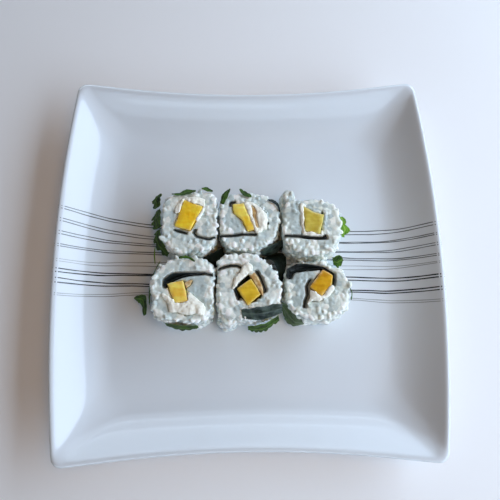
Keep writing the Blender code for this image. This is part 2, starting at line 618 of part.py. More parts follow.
def roll_outline_point(roll, angle, widen=1.0):
    """A point of the roll's outline, whose four quarters differ in reach and squareness."""
    quarter = int(angle // (math.pi / 2)) % 4
    power = 2 / roll["squareness"][quarter]
    half_x = roll["reach"][0 if quarter in (0, 3) else 2] * MM * widen
    half_y = roll["reach"][1 if quarter in (0, 1) else 3] * MM * widen
    c, s = math.cos(angle), math.sin(angle)
    return Vector((math.copysign(abs(c) ** power, c) * half_x, math.copysign(abs(s) ** power, s) * half_y))


def roll_top(roll, x, y):
    """The height of the cut face over a place of the roll."""
    lean_x, lean_y = roll["lean"]
    return FOOD_BASE + roll["height"] * MM + lean_x * x + lean_y * y


def make_core(roll, material):
    """The rice without its outer grains: a settled, slightly lumpy block."""
    seed = float(roll["name"]) * 7.3
    rings = []
    for share, widen in ROLL_PROFILE:
        ring = []
        for k in range(CORE_POINTS):
            point = roll_outline_point(roll, 2 * math.pi * k / CORE_POINTS, widen)
            z = FOOD_BASE + share * (roll_top(roll, *point) - FOOD_BASE)
            lump = noise.noise(Vector((point.x, point.y, z)) / UNEVENNESS_SIZE + Vector((seed, 0, 0)))
            if share > 0:
                point = point * (1 + lump * CORE_UNEVENNESS / point.length)
            ring.append((point.x, point.y, z))
        rings.append(ring)
    return loft("rice_" + roll["name"], rings, material)


def add_lumps(roll, collection):
    """Clumps of rice that stand out from the roll's corners."""
    for (x, y), (half_x, half_y), high in roll.get("lumps", ()):
        rings = []
        for share, widen in LUMP_PROFILE:
            z = FOOD_BASE + share * high * roll["height"] * MM
            ring = []
            for k in range(LUMP_POINTS):
                angle = 2 * math.pi * k / LUMP_POINTS
                out_x, out_y = math.cos(angle) * half_x * widen, math.sin(angle) * half_y * widen
                ring.append(((x + out_x) * MM, (y + out_y) * MM, z))
            rings.append(ring)
        hide_helper(loft("lump", rings, None, collection))


def add_grain(place, along, up, scale, collection):
    """One rice grain, long and blunt, lying along a direction."""
    bm = bmesh.new()
    length, half = GRAIN_LENGTH * scale, GRAIN_WIDTH * scale / 2
    tips = [bm.verts.new((end * length / 2, 0, 0)) for end in (-1, 1)]
    rings = []
    for x in (-GRAIN_WAIST * length, GRAIN_WAIST * length):
        ring = []
        for k in range(GRAIN_SIDES):
            angle = 2 * math.pi * k / GRAIN_SIDES
            ring.append(bm.verts.new((x, math.cos(angle) * half, math.sin(angle) * half)))
        rings.append(ring)
    for k in range(GRAIN_SIDES):
        j = (k + 1) % GRAIN_SIDES
        bm.faces.new((tips[0], rings[0][j], rings[0][k]))
        bm.faces.new((rings[0][k], rings[0][j], rings[1][j], rings[1][k]))
        bm.faces.new((tips[1], rings[1][k], rings[1][j]))
    bmesh.ops.recalc_face_normals(bm, faces=bm.faces)
    across = up.cross(along).normalized()
    up = along.cross(across).normalized()
    turn = Matrix((along, across, up)).transposed().to_4x4()
    bmesh.ops.transform(bm, matrix=Matrix.Translation(place) @ turn, verts=bm.verts)
    mesh = bpy.data.meshes.new("grain")
    bm.to_mesh(mesh)
    bm.free()
    hide_helper(add_object("grain", mesh, None, collection))


def inside(point, outline, margin):
    """Whether a point lies within an outline that is grown by a margin."""
    points = grown(outline, margin)
    found = False
    for a, b in zip(points, points[1:] + points[:1]):
        if (a.y > point[1]) != (b.y > point[1]):
            if point[0] < a.x + (point[1] - a.y) / (b.y - a.y) * (b.x - a.x):
                found = not found
    return found


def side_places(draw):
    """Where grains lie round a roll: their angle, height share and width share."""
    places = []
    for row in range(SIDE_GRAIN_ROWS):
        for k in range(SIDE_GRAINS):
            shift = draw.uniform(-SIDE_GRAIN_SHIFT, SIDE_GRAIN_SHIFT)
            angle = 2 * math.pi * (k + 0.5 * (row % 2) + shift) / SIDE_GRAINS
            rise = row + SIDE_ROW_START + draw.uniform(-SIDE_ROW_SHIFT, SIDE_ROW_SHIFT)
            places.append((angle, rise / (SIDE_GRAIN_ROWS + 0.2), 1.0))
    for k in range(EDGE_GRAINS):
        shift = draw.uniform(-EDGE_GRAIN_SHIFT, EDGE_GRAIN_SHIFT)
        places.append((2 * math.pi * (k + shift) / EDGE_GRAINS, *EDGE_GRAIN_PLACE))
    return places


def scatter_grains(roll, collection):
    """Grains over the sides, round the upper edge and on the cut face, evenly spread."""
    draw = random.Random(GRAIN_SEED + int(roll["name"]))
    for angle, share, widen in side_places(draw):
        point = roll_outline_point(roll, angle, widen)
        ahead = roll_outline_point(roll, angle + 0.05, widen)
        tangent = Vector((*(ahead - point), 0)).normalized()
        outward = Vector((tangent.y, -tangent.x, 0))
        tilt = draw.uniform(-GRAIN_TILT, GRAIN_TILT)
        along = tangent * math.cos(tilt) + Vector((0, 0, 1)) * math.sin(tilt)
        z = FOOD_BASE + share * (roll_top(roll, *point) - FOOD_BASE)
        place = Vector((*point, z)) - outward * GRAIN_SUNK
        add_grain(place, along.normalized(), outward, draw.uniform(*GRAIN_SCALES), collection)
    kept_clear = [(roll[kind], CLEAR_OF_FILLING) for kind in ("mango", "cream", "slice") if kind in roll]
    for kind in ("nori", "nori_inner"):
        if kind in roll:
            kept_clear.append((ribbon(roll[kind], nori_halves(roll, kind, 0.0)), CLEAR_OF_NORI))
    placed = 0
    while placed < TOP_GRAINS:
        angle, out = draw.uniform(0, 2 * math.pi), math.sqrt(draw.uniform(*TOP_GRAIN_RING))
        point = roll_outline_point(roll, angle, out)
        if any(inside(point / MM, outline, margin) for outline, margin in kept_clear):
            continue
        turn = draw.uniform(0, math.pi)
        place = Vector((*point, roll_top(roll, *point) - TOP_GRAIN_SUNK))
        along = Vector((math.cos(turn), math.sin(turn), 0))
        add_grain(place, along, Vector((0, 0, 1)), draw.uniform(*GRAIN_SCALES), collection)
        placed += 1


def nori_halves(roll, kind, more):
    """The band's half thickness at each point of its path, in millimetres."""
    folds = roll.get("nori_folds", ()) if kind == "nori" else ()
    count = len(roll[kind])
    halves = [fold / 2 for fold in folds] + [NORI_HALF / MM] * (count - len(folds))
    return [half + more for half in halves]


def in_metres(outline):
    return [Vector(point) * MM for point in outline]


def nori_band(name, roll, kind, more, material=None, collection=None):
    """One band of nori, or the room it needs where more is its gap in millimetres."""
    path = list(roll[kind])
    bottom, proud = FOOD_BASE, NORI_PROUD
    if more:
        bottom, proud = FOOD_BASE - ROOM_BELOW, ROOM_ABOVE
        for end, beyond in ((0, 1), (-1, -2)):
            way = (Vector(path[end]) - Vector(path[beyond])).normalized()
            path[end] = Vector(path[end]) + way * more
    outline = in_metres(ribbon(path, nori_halves(roll, kind, more)))
    top = FOOD_BASE + roll["height"] * MM + proud
    return prism(name, outline, bottom, top, material, collection)


def filling(name, roll, kind, more, material=None, collection=None):
    """One filling of the roll, or the room it needs where more is its gap in millimetres."""
    top = FOOD_BASE + roll["height"] * MM
    if more:
        outline = in_metres(grown(roll[kind], more))
        return prism(name, outline, FOOD_BASE - ROOM_BELOW, top + ROOM_ABOVE, None, collection)
    outline = in_metres(roll[kind])
    return prism(name, outline, FOOD_BASE, top + PROUD[kind], material, collection,
                 CROWN[kind], int(roll["name"]))


def rooms(roll, kinds):
    """A collection of the rooms that these parts of the roll need."""
    collection = helper_collection("rooms")
    gap = GAP / MM
    for kind in kinds:
        if kind not in roll:
            continue
        if kind.startswith("nori"):
            hide_helper(nori_band(kind + ".room", roll, kind, gap, None, collection))
        else:
            hide_helper(filling(kind + ".room", roll, kind, gap, None, collection))
    return collection


def cell_box(roll, collection):
    """The space that the roll may fill between its pressed neighbours."""
    column, row = roll["cell"]
    splits = FAR_ROW_SPLITS if row else NEAR_ROW_SPLITS
    edges_x = (-OPEN_SIDE, *splits, OPEN_SIDE)
    low_x, high_x = edges_x[column] + PRESS_GAP, edges_x[column + 1] - PRESS_GAP
    split_y = COLUMN_SPLITS[column]
    low_y, high_y = (split_y + PRESS_GAP, OPEN_SIDE) if row else (-OPEN_SIDE, split_y - PRESS_GAP)
    mx, my = roll["middle"]
    outline = [((x - mx) * MM, (y - my) * MM) for x, y in
               ((low_x, low_y), (high_x, low_y), (high_x, high_y), (low_x, high_y))]
    return prism("cell", outline, FOOD_BASE, FOOD_BASE + CELL_HEIGHT, None, collection)


def make_roll(roll, materials):
    """One roll: its rice, and each filling as a piece that runs right through it."""
    name = roll["name"]
    centre = bpy.data.objects.new("roll_" + name + "_middle", None)
    centre.empty_display_size = 10 * MM
    bpy.context.scene.collection.objects.link(centre)
    centre.location = (roll["middle"][0] * MM, roll["middle"][1] * MM, 0)
    made = [filling("mango_" + name, roll, "mango", 0.0, materials["mango"])]
    if "slice" in roll:
        piece = filling("slice_" + name, roll, "slice", 0.0, materials["slice"])
        combine(piece, "DIFFERENCE", rooms(roll, ("mango",)))
        made.append(piece)
    for kind in ("nori", "nori_inner"):
        if kind in roll:
            piece = nori_band(kind + "_" + name, roll, kind, 0.0, materials["nori"])
            earlier = ("mango", "slice") if kind == "nori" else ("mango", "slice", "nori")
            combine(piece, "DIFFERENCE", rooms(roll, earlier))
            made.append(piece)
    cream = filling("cream_cheese_" + name, roll, "cream", 0.0, materials["cream"])
    combine(cream, "DIFFERENCE", rooms(roll, ("mango", "slice", "nori", "nori_inner")))
    made.append(cream)
    rice = make_core(roll, materials["rice"])
    grains = helper_collection("grains")
    add_lumps(roll, grains)
    scatter_grains(roll, grains)
    combine(rice, "UNION", grains)
    cell = helper_collection("cell")
    hide_helper(cell_box(roll, cell))
    combine(rice, "INTERSECT", cell)
    combine(rice, "DIFFERENCE", rooms(roll, ("mango", "slice", "nori", "nori_inner", "cream")))
    made.append(rice)
    for thing in made:
        thing.parent = centre
    bpy.context.view_layer.update()
    leaf_room = helper_collection("leaf_room")
    add_leaf_room(leaf_room)
    combine(rice, "DIFFERENCE", leaf_room)
    for thing in made:
        smooth_shading(thing, 40)


def main():
    clear_scene()
    materials = {
        "rice": make_material("steamed rice", (0.72, 0.75, 0.72), 0.35, 0.2, 0.3),
        "mango": make_material("ripe mango", (0.72, 0.44, 0.03), 0.4, 0.1, 0.2),
        "slice": make_material("tan slice", (0.45, 0.27, 0.08), 0.45, 0.1, 0.2),
        "cream": make_material("cream cheese", (0.84, 0.85, 0.78), 0.5, 0.0, 0.2),
        "nori": make_material("moist nori", (0.008, 0.012, 0.010), 0.35),
        "fresh": make_material("fresh herb leaf", (0.05, 0.11, 0.012), 0.45),
        "dark": make_material("wilted dark leaf", (0.018, 0.032, 0.02), 0.4),
        "smooth": make_material("smooth round leaf", (0.07, 0.11, 0.055), 0.4),
    }
    make_plate(make_material("glazed porcelain", (0.8, 0.84, 0.88), 0.12, 0.5))
    make_leaves(materials)
    for roll in ROLLS:
        make_roll(roll, materials)


main()
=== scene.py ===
import math
import random

import bmesh
import bpy
import numpy as np
from mathutils import Matrix, Vector, noise
from mathutils.bvhtree import BVHTree
from mathutils.kdtree import KDTree


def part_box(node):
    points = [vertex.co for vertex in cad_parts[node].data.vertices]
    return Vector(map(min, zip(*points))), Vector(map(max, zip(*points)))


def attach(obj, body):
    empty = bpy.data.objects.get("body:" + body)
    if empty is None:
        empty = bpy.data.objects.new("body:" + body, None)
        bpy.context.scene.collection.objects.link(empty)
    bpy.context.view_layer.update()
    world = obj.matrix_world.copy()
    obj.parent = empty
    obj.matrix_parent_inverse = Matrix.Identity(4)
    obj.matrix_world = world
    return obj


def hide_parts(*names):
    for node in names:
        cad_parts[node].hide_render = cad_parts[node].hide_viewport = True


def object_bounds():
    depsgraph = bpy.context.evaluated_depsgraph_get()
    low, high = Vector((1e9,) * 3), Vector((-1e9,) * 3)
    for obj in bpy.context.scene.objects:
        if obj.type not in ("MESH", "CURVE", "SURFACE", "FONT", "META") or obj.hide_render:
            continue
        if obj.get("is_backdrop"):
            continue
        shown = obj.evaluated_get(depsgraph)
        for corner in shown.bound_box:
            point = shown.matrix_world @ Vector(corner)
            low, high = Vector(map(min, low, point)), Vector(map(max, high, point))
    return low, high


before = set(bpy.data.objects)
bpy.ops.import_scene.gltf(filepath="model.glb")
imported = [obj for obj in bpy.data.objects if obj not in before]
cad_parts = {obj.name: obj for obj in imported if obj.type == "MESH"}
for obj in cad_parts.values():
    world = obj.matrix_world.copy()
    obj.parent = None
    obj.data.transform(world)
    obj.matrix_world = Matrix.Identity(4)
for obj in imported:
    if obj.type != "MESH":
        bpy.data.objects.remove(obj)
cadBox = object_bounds()
mm = 0.001
rollNames = ("1", "2", "3", "4", "5", "6")


def selectOnly(*pieces):
    bpy.ops.object.select_all(action="DESELECT")
    for piece in pieces:
        piece.select_set(True)
    bpy.context.view_layer.objects.active = pieces[0]


def applyModifier(piece, kind, **settings):
    modifier = piece.modifiers.new(kind.title(), kind)
    for name, value in settings.items():
        setattr(modifier, name, value)
    selectOnly(piece)
    bpy.ops.object.modifier_apply(modifier=modifier.name)


def mergedCopy(node, name):  # the node's own mesh is loose triangles and is left alone
    piece = bpy.data.objects.new(name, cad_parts[node].data.copy())
    bpy.context.scene.collection.objects.link(piece)
    selectOnly(piece)
    bpy.ops.mesh.customdata_custom_splitnormals_clear()
    bpy.ops.object.mode_set(mode="EDIT")
    bpy.ops.mesh.select_all(action="SELECT")
    bpy.ops.mesh.remove_doubles(threshold=0.01 * mm)
    bpy.ops.object.mode_set(mode="OBJECT")
    return piece


def dress(piece, material, slotName=None, *nodes):
    piece.data.materials.clear()
    piece.data.materials.append(material)
    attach(piece, "root")
    if nodes:
        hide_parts(*nodes)


def coordinates(mesh):
    flat = np.empty(len(mesh.vertices) * 3, np.float32)
    mesh.vertices.foreach_get("co", flat)
    return flat.reshape(-1, 3).astype(float)


def keepBelowTop(places):  # nothing rises as high as the CAD model's own highest point
    places[:, 2] = np.minimum(places[:, 2], cadBox[1][2] - 0.1 * mm)


def vertexNormals(mesh):
    flat = np.empty(len(mesh.vertices) * 3, np.float32)
    mesh.vertex_normals.foreach_get("vector", flat)
    return flat.reshape(-1, 3).astype(float)


def setCoordinates(mesh, places):
    mesh.vertices.foreach_set("co", places.astype(np.float32).ravel())
    mesh.update()


def addAttribute(mesh, name, values):
    attribute = mesh.attributes.new(name, "FLOAT", "POINT")
    attribute.data.foreach_set("value", np.asarray(values, np.float32))


def markHollows(piece, rounds, depth):  # 0.5 where flat, less in creases, more on crests
    mesh = piece.data
    places = coordinates(mesh)
    ends = np.empty(len(mesh.edges) * 2, np.int32)
    mesh.edges.foreach_get("vertices", ends)
    first, second = ends.reshape(-1, 2).T
    count = len(places)
    links = np.bincount(np.concatenate((first, second)), minlength=count).clip(1)
    smooth = places.copy()
    for _ in range(rounds):
        for axis in range(3):
            near = np.bincount(first, smooth[second, axis], count)
            near += np.bincount(second, smooth[first, axis], count)
            smooth[:, axis] = near / links
    rise = ((places - smooth) * vertexNormals(mesh)).sum(1)
    addAttribute(mesh, "relief", (0.5 + rise / (depth * mm)).clip(0, 1))


def keepLargest(piece):  # drops the shells of small closed hollows
    bm = bmesh.new()
    bm.from_mesh(piece.data)
    left = set(bm.verts)
    shells = []
    while left:
        start = left.pop()
        shell = [start]
        for vert in shell:
            for edge in vert.link_edges:
                other = edge.other_vert(vert)
                if other in left:
                    left.discard(other)
                    shell.append(other)
        shells.append(shell)
    shells.sort(key=len)
    extra = [vert for shell in shells[:-1] for vert in shell]
    bmesh.ops.delete(bm, geom=extra, context="VERTS")
    bm.to_mesh(piece.data)
    bm.free()


def treeOf(nodes):  # one search tree over several CAD nodes
    places, faces = [], []
    for name in nodes:
        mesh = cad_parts[name].data
        start = len(places)
        places += [vert.co.copy() for vert in mesh.vertices]
        faces += [[start + i for i in polygon.vertices] for polygon in mesh.polygons]
    return BVHTree.FromPolygons(places, faces)


# Camera: it looks down at the plate from a little in front of it
cameraSet = {
    "place": (-6.01, -88.04, 384.48),
    "down": 75.318,
    "turned": -4.076,
    "tilted": 3.538,
    "lens": 39.6,
    "sensor": 36.0,
}


def makeCamera():
    down, turned, tilted = (math.radians(cameraSet[key]) for key in ("down", "turned", "tilted"))
    turn = Matrix.Rotation(turned, 3, "Z")
    look = turn @ Vector((0, math.cos(down), -math.sin(down)))
    level = turn @ Vector((1, 0, 0))
    upright = level.cross(look)
    right = math.cos(tilted) * level + math.sin(tilted) * upright
    up = -math.sin(tilted) * level + math.cos(tilted) * upright
    camera = bpy.data.objects.new("camera", bpy.data.cameras.new("camera"))
    bpy.context.scene.collection.objects.link(camera)
    rotation = Matrix((right, up, -look)).transposed().to_4x4()
    camera.matrix_world = Matrix.Translation(Vector(cameraSet["place"]) * mm) @ rotation
    camera.data.lens = cameraSet["lens"]
    camera.data.sensor_width = cameraSet["sensor"]
    camera.data.clip_start = 0.01
    bpy.context.scene.camera = camera


makeCamera()
print("camera placed")


# Light: a large cool window light from the right, a small warm lamp overhead and a dim cool room
lights = {
    "window": {"place": (0.75, 0.0, 0.50), "size": (2.0, 0.5), "power": 14.9, "colour": "d3e8ff",
               "mirrored": True},
    "lamp": {"place": (0.2, -0.10, 0.95), "size": (0.5, 0.5), "power": 1.9, "colour": "ffbc58",
             "mirrored": False},
}
# Cards in front and behind, which only show as reflections in the glaze and on the moist food, brighter lower
# down so that they fade out softly.
cardSet = {"away": 0.9, "size": (1.9, 0.3), "heights": (0.9, 0.6, 0.3), "powers": (3.8, 6.4, 8.5),
           "colour": "d4e8fc"}
skyColour, skyStrength = "c4d6ea", 0.2
floorSet = {"size": 6.0, "colour": "f4f5f6"}


def linear(code):  # an sRGB hex colour as Blender's linear values
    parts = [int(code[i:i + 2], 16) / 255 for i in (0, 2, 4)]
    return tuple(c / 12.92 if c <= 0.04045 else ((c + 0.055) / 1.055) ** 2.4 for c in parts)


def hexColour(code):
    return (*linear(code), 1.0)


def addNode(tree, kind, inputs=None, **settings):
    made = tree.nodes.new("ShaderNode" + kind)
    for name, value in settings.items():
        setattr(made, name, value)
    for socket, value in (inputs or {}).items():
        if isinstance(value, bpy.types.NodeSocket):
            tree.links.new(value, made.inputs[socket])
        else:
            made.inputs[socket].default_value = value
    return made


def newMaterial(name, **sockets):
    material = bpy.data.materials.new(name)
    material.use_nodes = True
    shader = material.node_tree.nodes["Principled BSDF"]
    for socket, value in sockets.items():
        shader.inputs[socket.replace("_", " ")].default_value = value
    return material, material.node_tree, shader


def linkShader(tree, shader, colour, relief=None):
    tree.links.new(colour.outputs[2], shader.inputs["Base Color"])
    if relief:
        tree.links.new(relief.outputs[0], shader.inputs["Normal"])


def addLight(name, place, size, power, colour):
    lamp = bpy.data.objects.new(name, bpy.data.lights.new(name, "AREA"))
    bpy.context.scene.collection.objects.link(lamp)
    lamp.data.shape = "RECTANGLE"
    lamp.data.size, lamp.data.size_y = size
    lamp.data.energy = power
    lamp.data.color = linear(colour)
    lamp.location = place
    lamp.rotation_euler = (-Vector(place)).to_track_quat("-Z", "Y").to_euler()
    return lamp


def makeLights():
    for name, light in lights.items():
        lamp = addLight(name, light["place"], light["size"], light["power"], light["colour"])
        lamp.visible_glossy = light["mirrored"]
    for side, name in ((-1, "near card"), (1, "far card")):
        for height, power in zip(cardSet["heights"], cardSet["powers"]):
            place = (0, side * cardSet["away"], height)
            card = addLight(name, place, cardSet["size"], power, cardSet["colour"])
            card.visible_diffuse = False
    world = bpy.data.worlds.new("soft room")
    bpy.context.scene.world = world
    world.use_nodes = True
    backdrop = world.node_tree.nodes["Background"]
    backdrop.inputs["Color"].default_value = hexColour(skyColour)
    backdrop.inputs["Strength"].default_value = skyStrength
    bpy.context.scene.view_settings.view_transform = "Standard"


def makeFloor():
    bpy.ops.object.select_all(action="DESELECT")
    bpy.ops.mesh.primitive_plane_add(size=floorSet["size"], location=(0, 0, -0.1 * mm))
    floor = bpy.context.object
    floor.name = "floor"
    material, tree, shader = newMaterial("matt painted board", Roughness=0.9)
    shader.inputs["Base Color"].default_value = hexColour(floorSet["colour"])
    floor.data.materials.append(material)
    floor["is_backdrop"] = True


makeLights()
makeFloor()
print("light and floor made")


# Porcelain: a fired white body under a clear glaze, cool and smooth, with the faint ripple of a glaze coat
def glazedPorcelain():
    material, tree, shader = newMaterial("glazed porcelain", Roughness=0.1, IOR=1.52)
    where = addNode(tree, "TexCoord").outputs["Object"]
    cloud = addNode(tree, "TexNoise", {"Vector": where, "Scale": 14.0, "Detail": 2.0})
    tint = addNode(tree, "Mix", {0: cloud.outputs[0], 6: hexColour("dae2e9"), 7: hexColour("e3eaf0")},
                   data_type="RGBA")
    ripple = addNode(tree, "TexNoise", {"Vector": where, "Scale": 60.0, "Detail": 1.0})
    bump = addNode(tree, "Bump", {"Height": ripple.outputs[0], "Strength": 0.05, "Distance": 0.4 * mm})
    linkShader(tree, shader, tint, bump)
    return material


# Underglaze lines: iron-black slip drawn by hand with a fine brush, so each line varies in darkness
def underglazeLine(name, dark, pale):
    material, tree, shader = newMaterial(name, Roughness=0.15, IOR=1.52)
    where = addNode(tree, "TexCoord").outputs["Object"]
    stroke = addNode(tree, "Mapping", {"Vector": where, "Scale": (22.0, 160.0, 22.0)})
    patchy = addNode(tree, "TexNoise", {"Vector": stroke.outputs[0], "Scale": 1.0, "Detail": 3.0})
    spread = addNode(tree, "MapRange", {"Value": patchy.outputs[0], "From Min": 0.38, "From Max": 0.68})
    split = addNode(tree, "SeparateXYZ", {"Vector": where})
    # painted shade: the lines are painted paler towards +X, standing in for the lower contrast they show
    # where the right side of the well lies in shade
    fainter = addNode(tree, "MapRange", {"Value": split.outputs["X"], "From Min": -0.02, "From Max": 0.08,
                                      "To Max": 0.75})
    share = addNode(tree, "Math", {0: spread.outputs[0], 1: fainter.outputs[0]}, operation="MAXIMUM")
    tint = addNode(tree, "Mix", {0: share.outputs[0], 6: hexColour(dark), 7: hexColour(pale)},
                   data_type="RGBA")
    linkShader(tree, shader, tint)
    return material


plateLook = {"wellInset": 6.0, "level": 2}


def makePlate():
    plate = mergedCopy("plate", "porcelainPlate")
    top = max(polygon.center.z for polygon in plate.data.polygons
              if polygon.normal.z > 0.9999 and Vector(polygon.center[:2]).length < 40 * mm)
    for face, level in ((1, top), (-1, None)):
        bpy.ops.object.mode_set(mode="EDIT")
        bpy.ops.mesh.select_all(action="DESELECT")
        bpy.ops.mesh.select_mode(type="FACE")
        bpy.ops.object.mode_set(mode="OBJECT")
        for polygon in plate.data.polygons:
            flat = polygon.normal.z * face > 0.9999
            if level is None:
                polygon.select = flat and 1 * mm < polygon.center.z < top - 1 * mm
            else:
                polygon.select = flat and abs(polygon.center.z - level) < 0.02 * mm
        bpy.ops.object.mode_set(mode="EDIT")
        bpy.ops.mesh.dissolve_faces()
        bpy.ops.mesh.inset(thickness=plateLook["wellInset"] * mm)
        bpy.ops.object.mode_set(mode="OBJECT")
    bpy.ops.object.mode_set(mode="EDIT")
    bpy.ops.mesh.select_all(action="SELECT")
    bpy.ops.mesh.tris_convert_to_quads(face_threshold=math.radians(70), shape_threshold=math.radians(70))
    bpy.ops.object.mode_set(mode="OBJECT")
    applyModifier(plate, "SUBSURF", levels=plateLook["level"], render_levels=plateLook["level"])
    plate.data.shade_smooth()
    dress(plate, glazedPorcelain(), "porcelain", "plate")
    return plate


plate = makePlate()
print("plate made:", len(plate.data.polygons), "faces")

# Stripes: pairs of lines from rim to rim. For each pair, in millimetres: its middle along Y at the left rim,
# left of the rolls, right of the rolls and at the right rim, how far apart the two lines are at those places,
# and how thick the brush was.
stripeSet = {
    "alongX": (-131.0, -68.0, 68.0, 131.0),
    "plateHalf": (121.8, 131.9),  # from the plate's middle to a corner
    "sideBulge": 10.2,
    "short": 1.0,  # of the rim's edge
    "steps": 120,
    "lift": 0.05,
    "pairs": (
        {"y": (37.7, 28.3, 22.5, 24.1), "apart": (2.0, 2.0, 2.5, 1.9), "width": 0.62, "tone": "dark"},
        {"y": (28.9, 19.7, 15.3, 16.7), "apart": (2.0, 2.0, 0.5, 1.3), "width": 0.60, "tone": "dark"},
        {"y": (19.6, 14.2, 8.5, 9.4), "apart": (2.0, 1.3, 0.8, 1.7), "width": 0.58, "tone": "dark"},
        {"y": (10.7, 8.4, 3.4, 2.1), "apart": (1.4, 1.4, 1.5, 1.2), "width": 0.62, "tone": "dark"},
        {"y": (0.2, 0.5, -2.9, -3.2), "apart": (1.3, 2.8, 2.6, 0.9), "width": 0.50, "tone": "faint"},
        {"y": (-6.7, -7.0, -10.7, -12.6), "apart": (2.6, 0.9, 2.3, 1.8), "width": 0.80, "tone": "bold"},
        {"y": (-13.5, -14.5, -19.5, -21.2), "apart": (2.9, 1.4, 1.4, 1.9), "width": 0.80, "tone": "bold"},
        {"y": (-23.0, -20.4, -25.1, -29.3), "apart": (1.4, 1.6, 1.3, 1.5), "width": 0.50, "tone": "faint"},
    ),
}


def smoothThrough(knots, values, x):  # a smooth curve through a few values
    knots, values = list(knots), list(values)
    for i in range(len(knots) - 1):
        if x <= knots[i + 1] or i == len(knots) - 2:
            t = (x - knots[i]) / (knots[i + 1] - knots[i])
            before = values[i - 1] if i else values[i]
            after = values[i + 2] if i + 2 < len(values) else values[i + 1]
            a, b = values[i], values[i + 1]
            return a + 0.5 * t * (b - before + t * (2 * before - 5 * a + 4 * b - after
                                                    + t * (3 * a - 3 * b + after - before)))
    return values[-1]


def makeStripe(name, pair, side, seed):
    bpy.ops.object.select_all(action="DESELECT")
    bpy.ops.mesh.primitive_grid_add(x_subdivisions=stripeSet["steps"], y_subdivisions=1, size=1)
    stripe = bpy.context.object
    stripe.name = name
    knots = stripeSet["alongX"]
    halfX, halfY = stripeSet["plateHalf"]
    ends = [halfX + stripeSet["sideBulge"] * (1 - (y / halfY) ** 2) - stripeSet["short"]
            for y in (pair["y"][0], pair["y"][-1])]
    for vert in stripe.data.vertices:
        x = -ends[0] + (vert.co.x + 0.5) * (ends[0] + ends[1])
        middle = smoothThrough(knots, pair["y"], x)
        apart = smoothThrough(knots, pair["apart"], x)
        wobble = 0.35 * noise.noise(Vector((x / 17.0, seed * 5.3, side)))
        brush = pair["width"] * (1 + 0.35 * noise.noise(Vector((x / 9.0, seed * 2.9, 4.0 + side))))
        y = middle + side * apart / 2 + wobble + vert.co.y * brush
        vert.co = (x * mm, y * mm, 60 * mm)
    applyModifier(stripe, "SHRINKWRAP", target=plate, wrap_method="PROJECT", use_negative_direction=True,
                  use_positive_direction=False, use_project_z=True, offset=stripeSet["lift"] * mm)
    applyModifier(stripe, "SOLIDIFY", thickness=0.04 * mm, offset=0.0)
    return stripe


def makeStripes():
    tones = {
        "bold": underglazeLine("iron-black underglaze line", "14181b", "3a4044"),
        "dark": underglazeLine("thin black underglaze line", "33393c", "71787c"),
        "faint": underglazeLine("worn grey underglaze line", "7b7f80", "aab1b5"),
    }
    for tone, material in tones.items():
        lines = []
        for number, pair in enumerate(stripeSet["pairs"]):
            if pair["tone"] == tone:
                lines += [makeStripe(f"line{number}", pair, side, number) for side in (-1, 1)]
        selectOnly(*lines)
        bpy.ops.object.join()
        stripes = bpy.context.object
        stripes.name = tone + "Stripes"
        dress(stripes, material)


makeStripes()
print("stripes drawn")


# Steamed rice: short grains, soft and slightly see-through, shiny where the vinegar wets them. The creases
# between the grains are painted in the darker hollow colour as painted shade
def steamedRice(name, wet, dry, hollow):
    material, tree, shader = newMaterial(
        name, Roughness=0.38, IOR=1.38, Subsurface_Weight=0.8, Subsurface_Scale=1.6 * mm,
        Subsurface_Radius=(1.0, 0.95, 0.9), Coat_Weight=0.15, Coat_Roughness=0.2)
    where = addNode(tree, "TexCoord").outputs["Object"]
    relief = addNode(tree, "Attribute", attribute_name="relief").outputs["Fac"]
    tone = addNode(tree, "Attribute", attribute_name="tone").outputs["Fac"]
    cloud = addNode(tree, "TexNoise", {"Vector": where, "Scale": 170.0, "Detail": 2.0})
    drift = addNode(tree, "MapRange", {"Value": cloud.outputs[0], "From Min": 0.35, "From Max": 0.65,
                                       "To Min": -0.2, "To Max": 0.2})
    mixed = addNode(tree, "Math", {0: tone, 1: drift.outputs[0]}, operation="ADD", use_clamp=True)
    grain = addNode(tree, "Mix", {0: mixed.outputs[0], 6: hexColour(wet), 7: hexColour(dry)},
                    data_type="RGBA")
    # painted shade: the creases between the grains take the darker hollow colour
    creaseShadeMask = addNode(tree, "MapRange", {"Value": relief, "From Min": 0.05, "From Max": 0.55})
    shaded = addNode(tree, "Mix", {0: creaseShadeMask.outputs[0], 6: hexColour(hollow), 7: grain.outputs[2]},
                     data_type="RGBA")
    fine = addNode(tree, "TexNoise", {"Vector": where, "Scale": 900.0, "Detail": 3.0})
    bump = addNode(tree, "Bump", {"Height": fine.outputs[0], "Strength": 0.2, "Distance": 0.25 * mm})
    linkShader(tree, shader, shaded, bump)
    return material
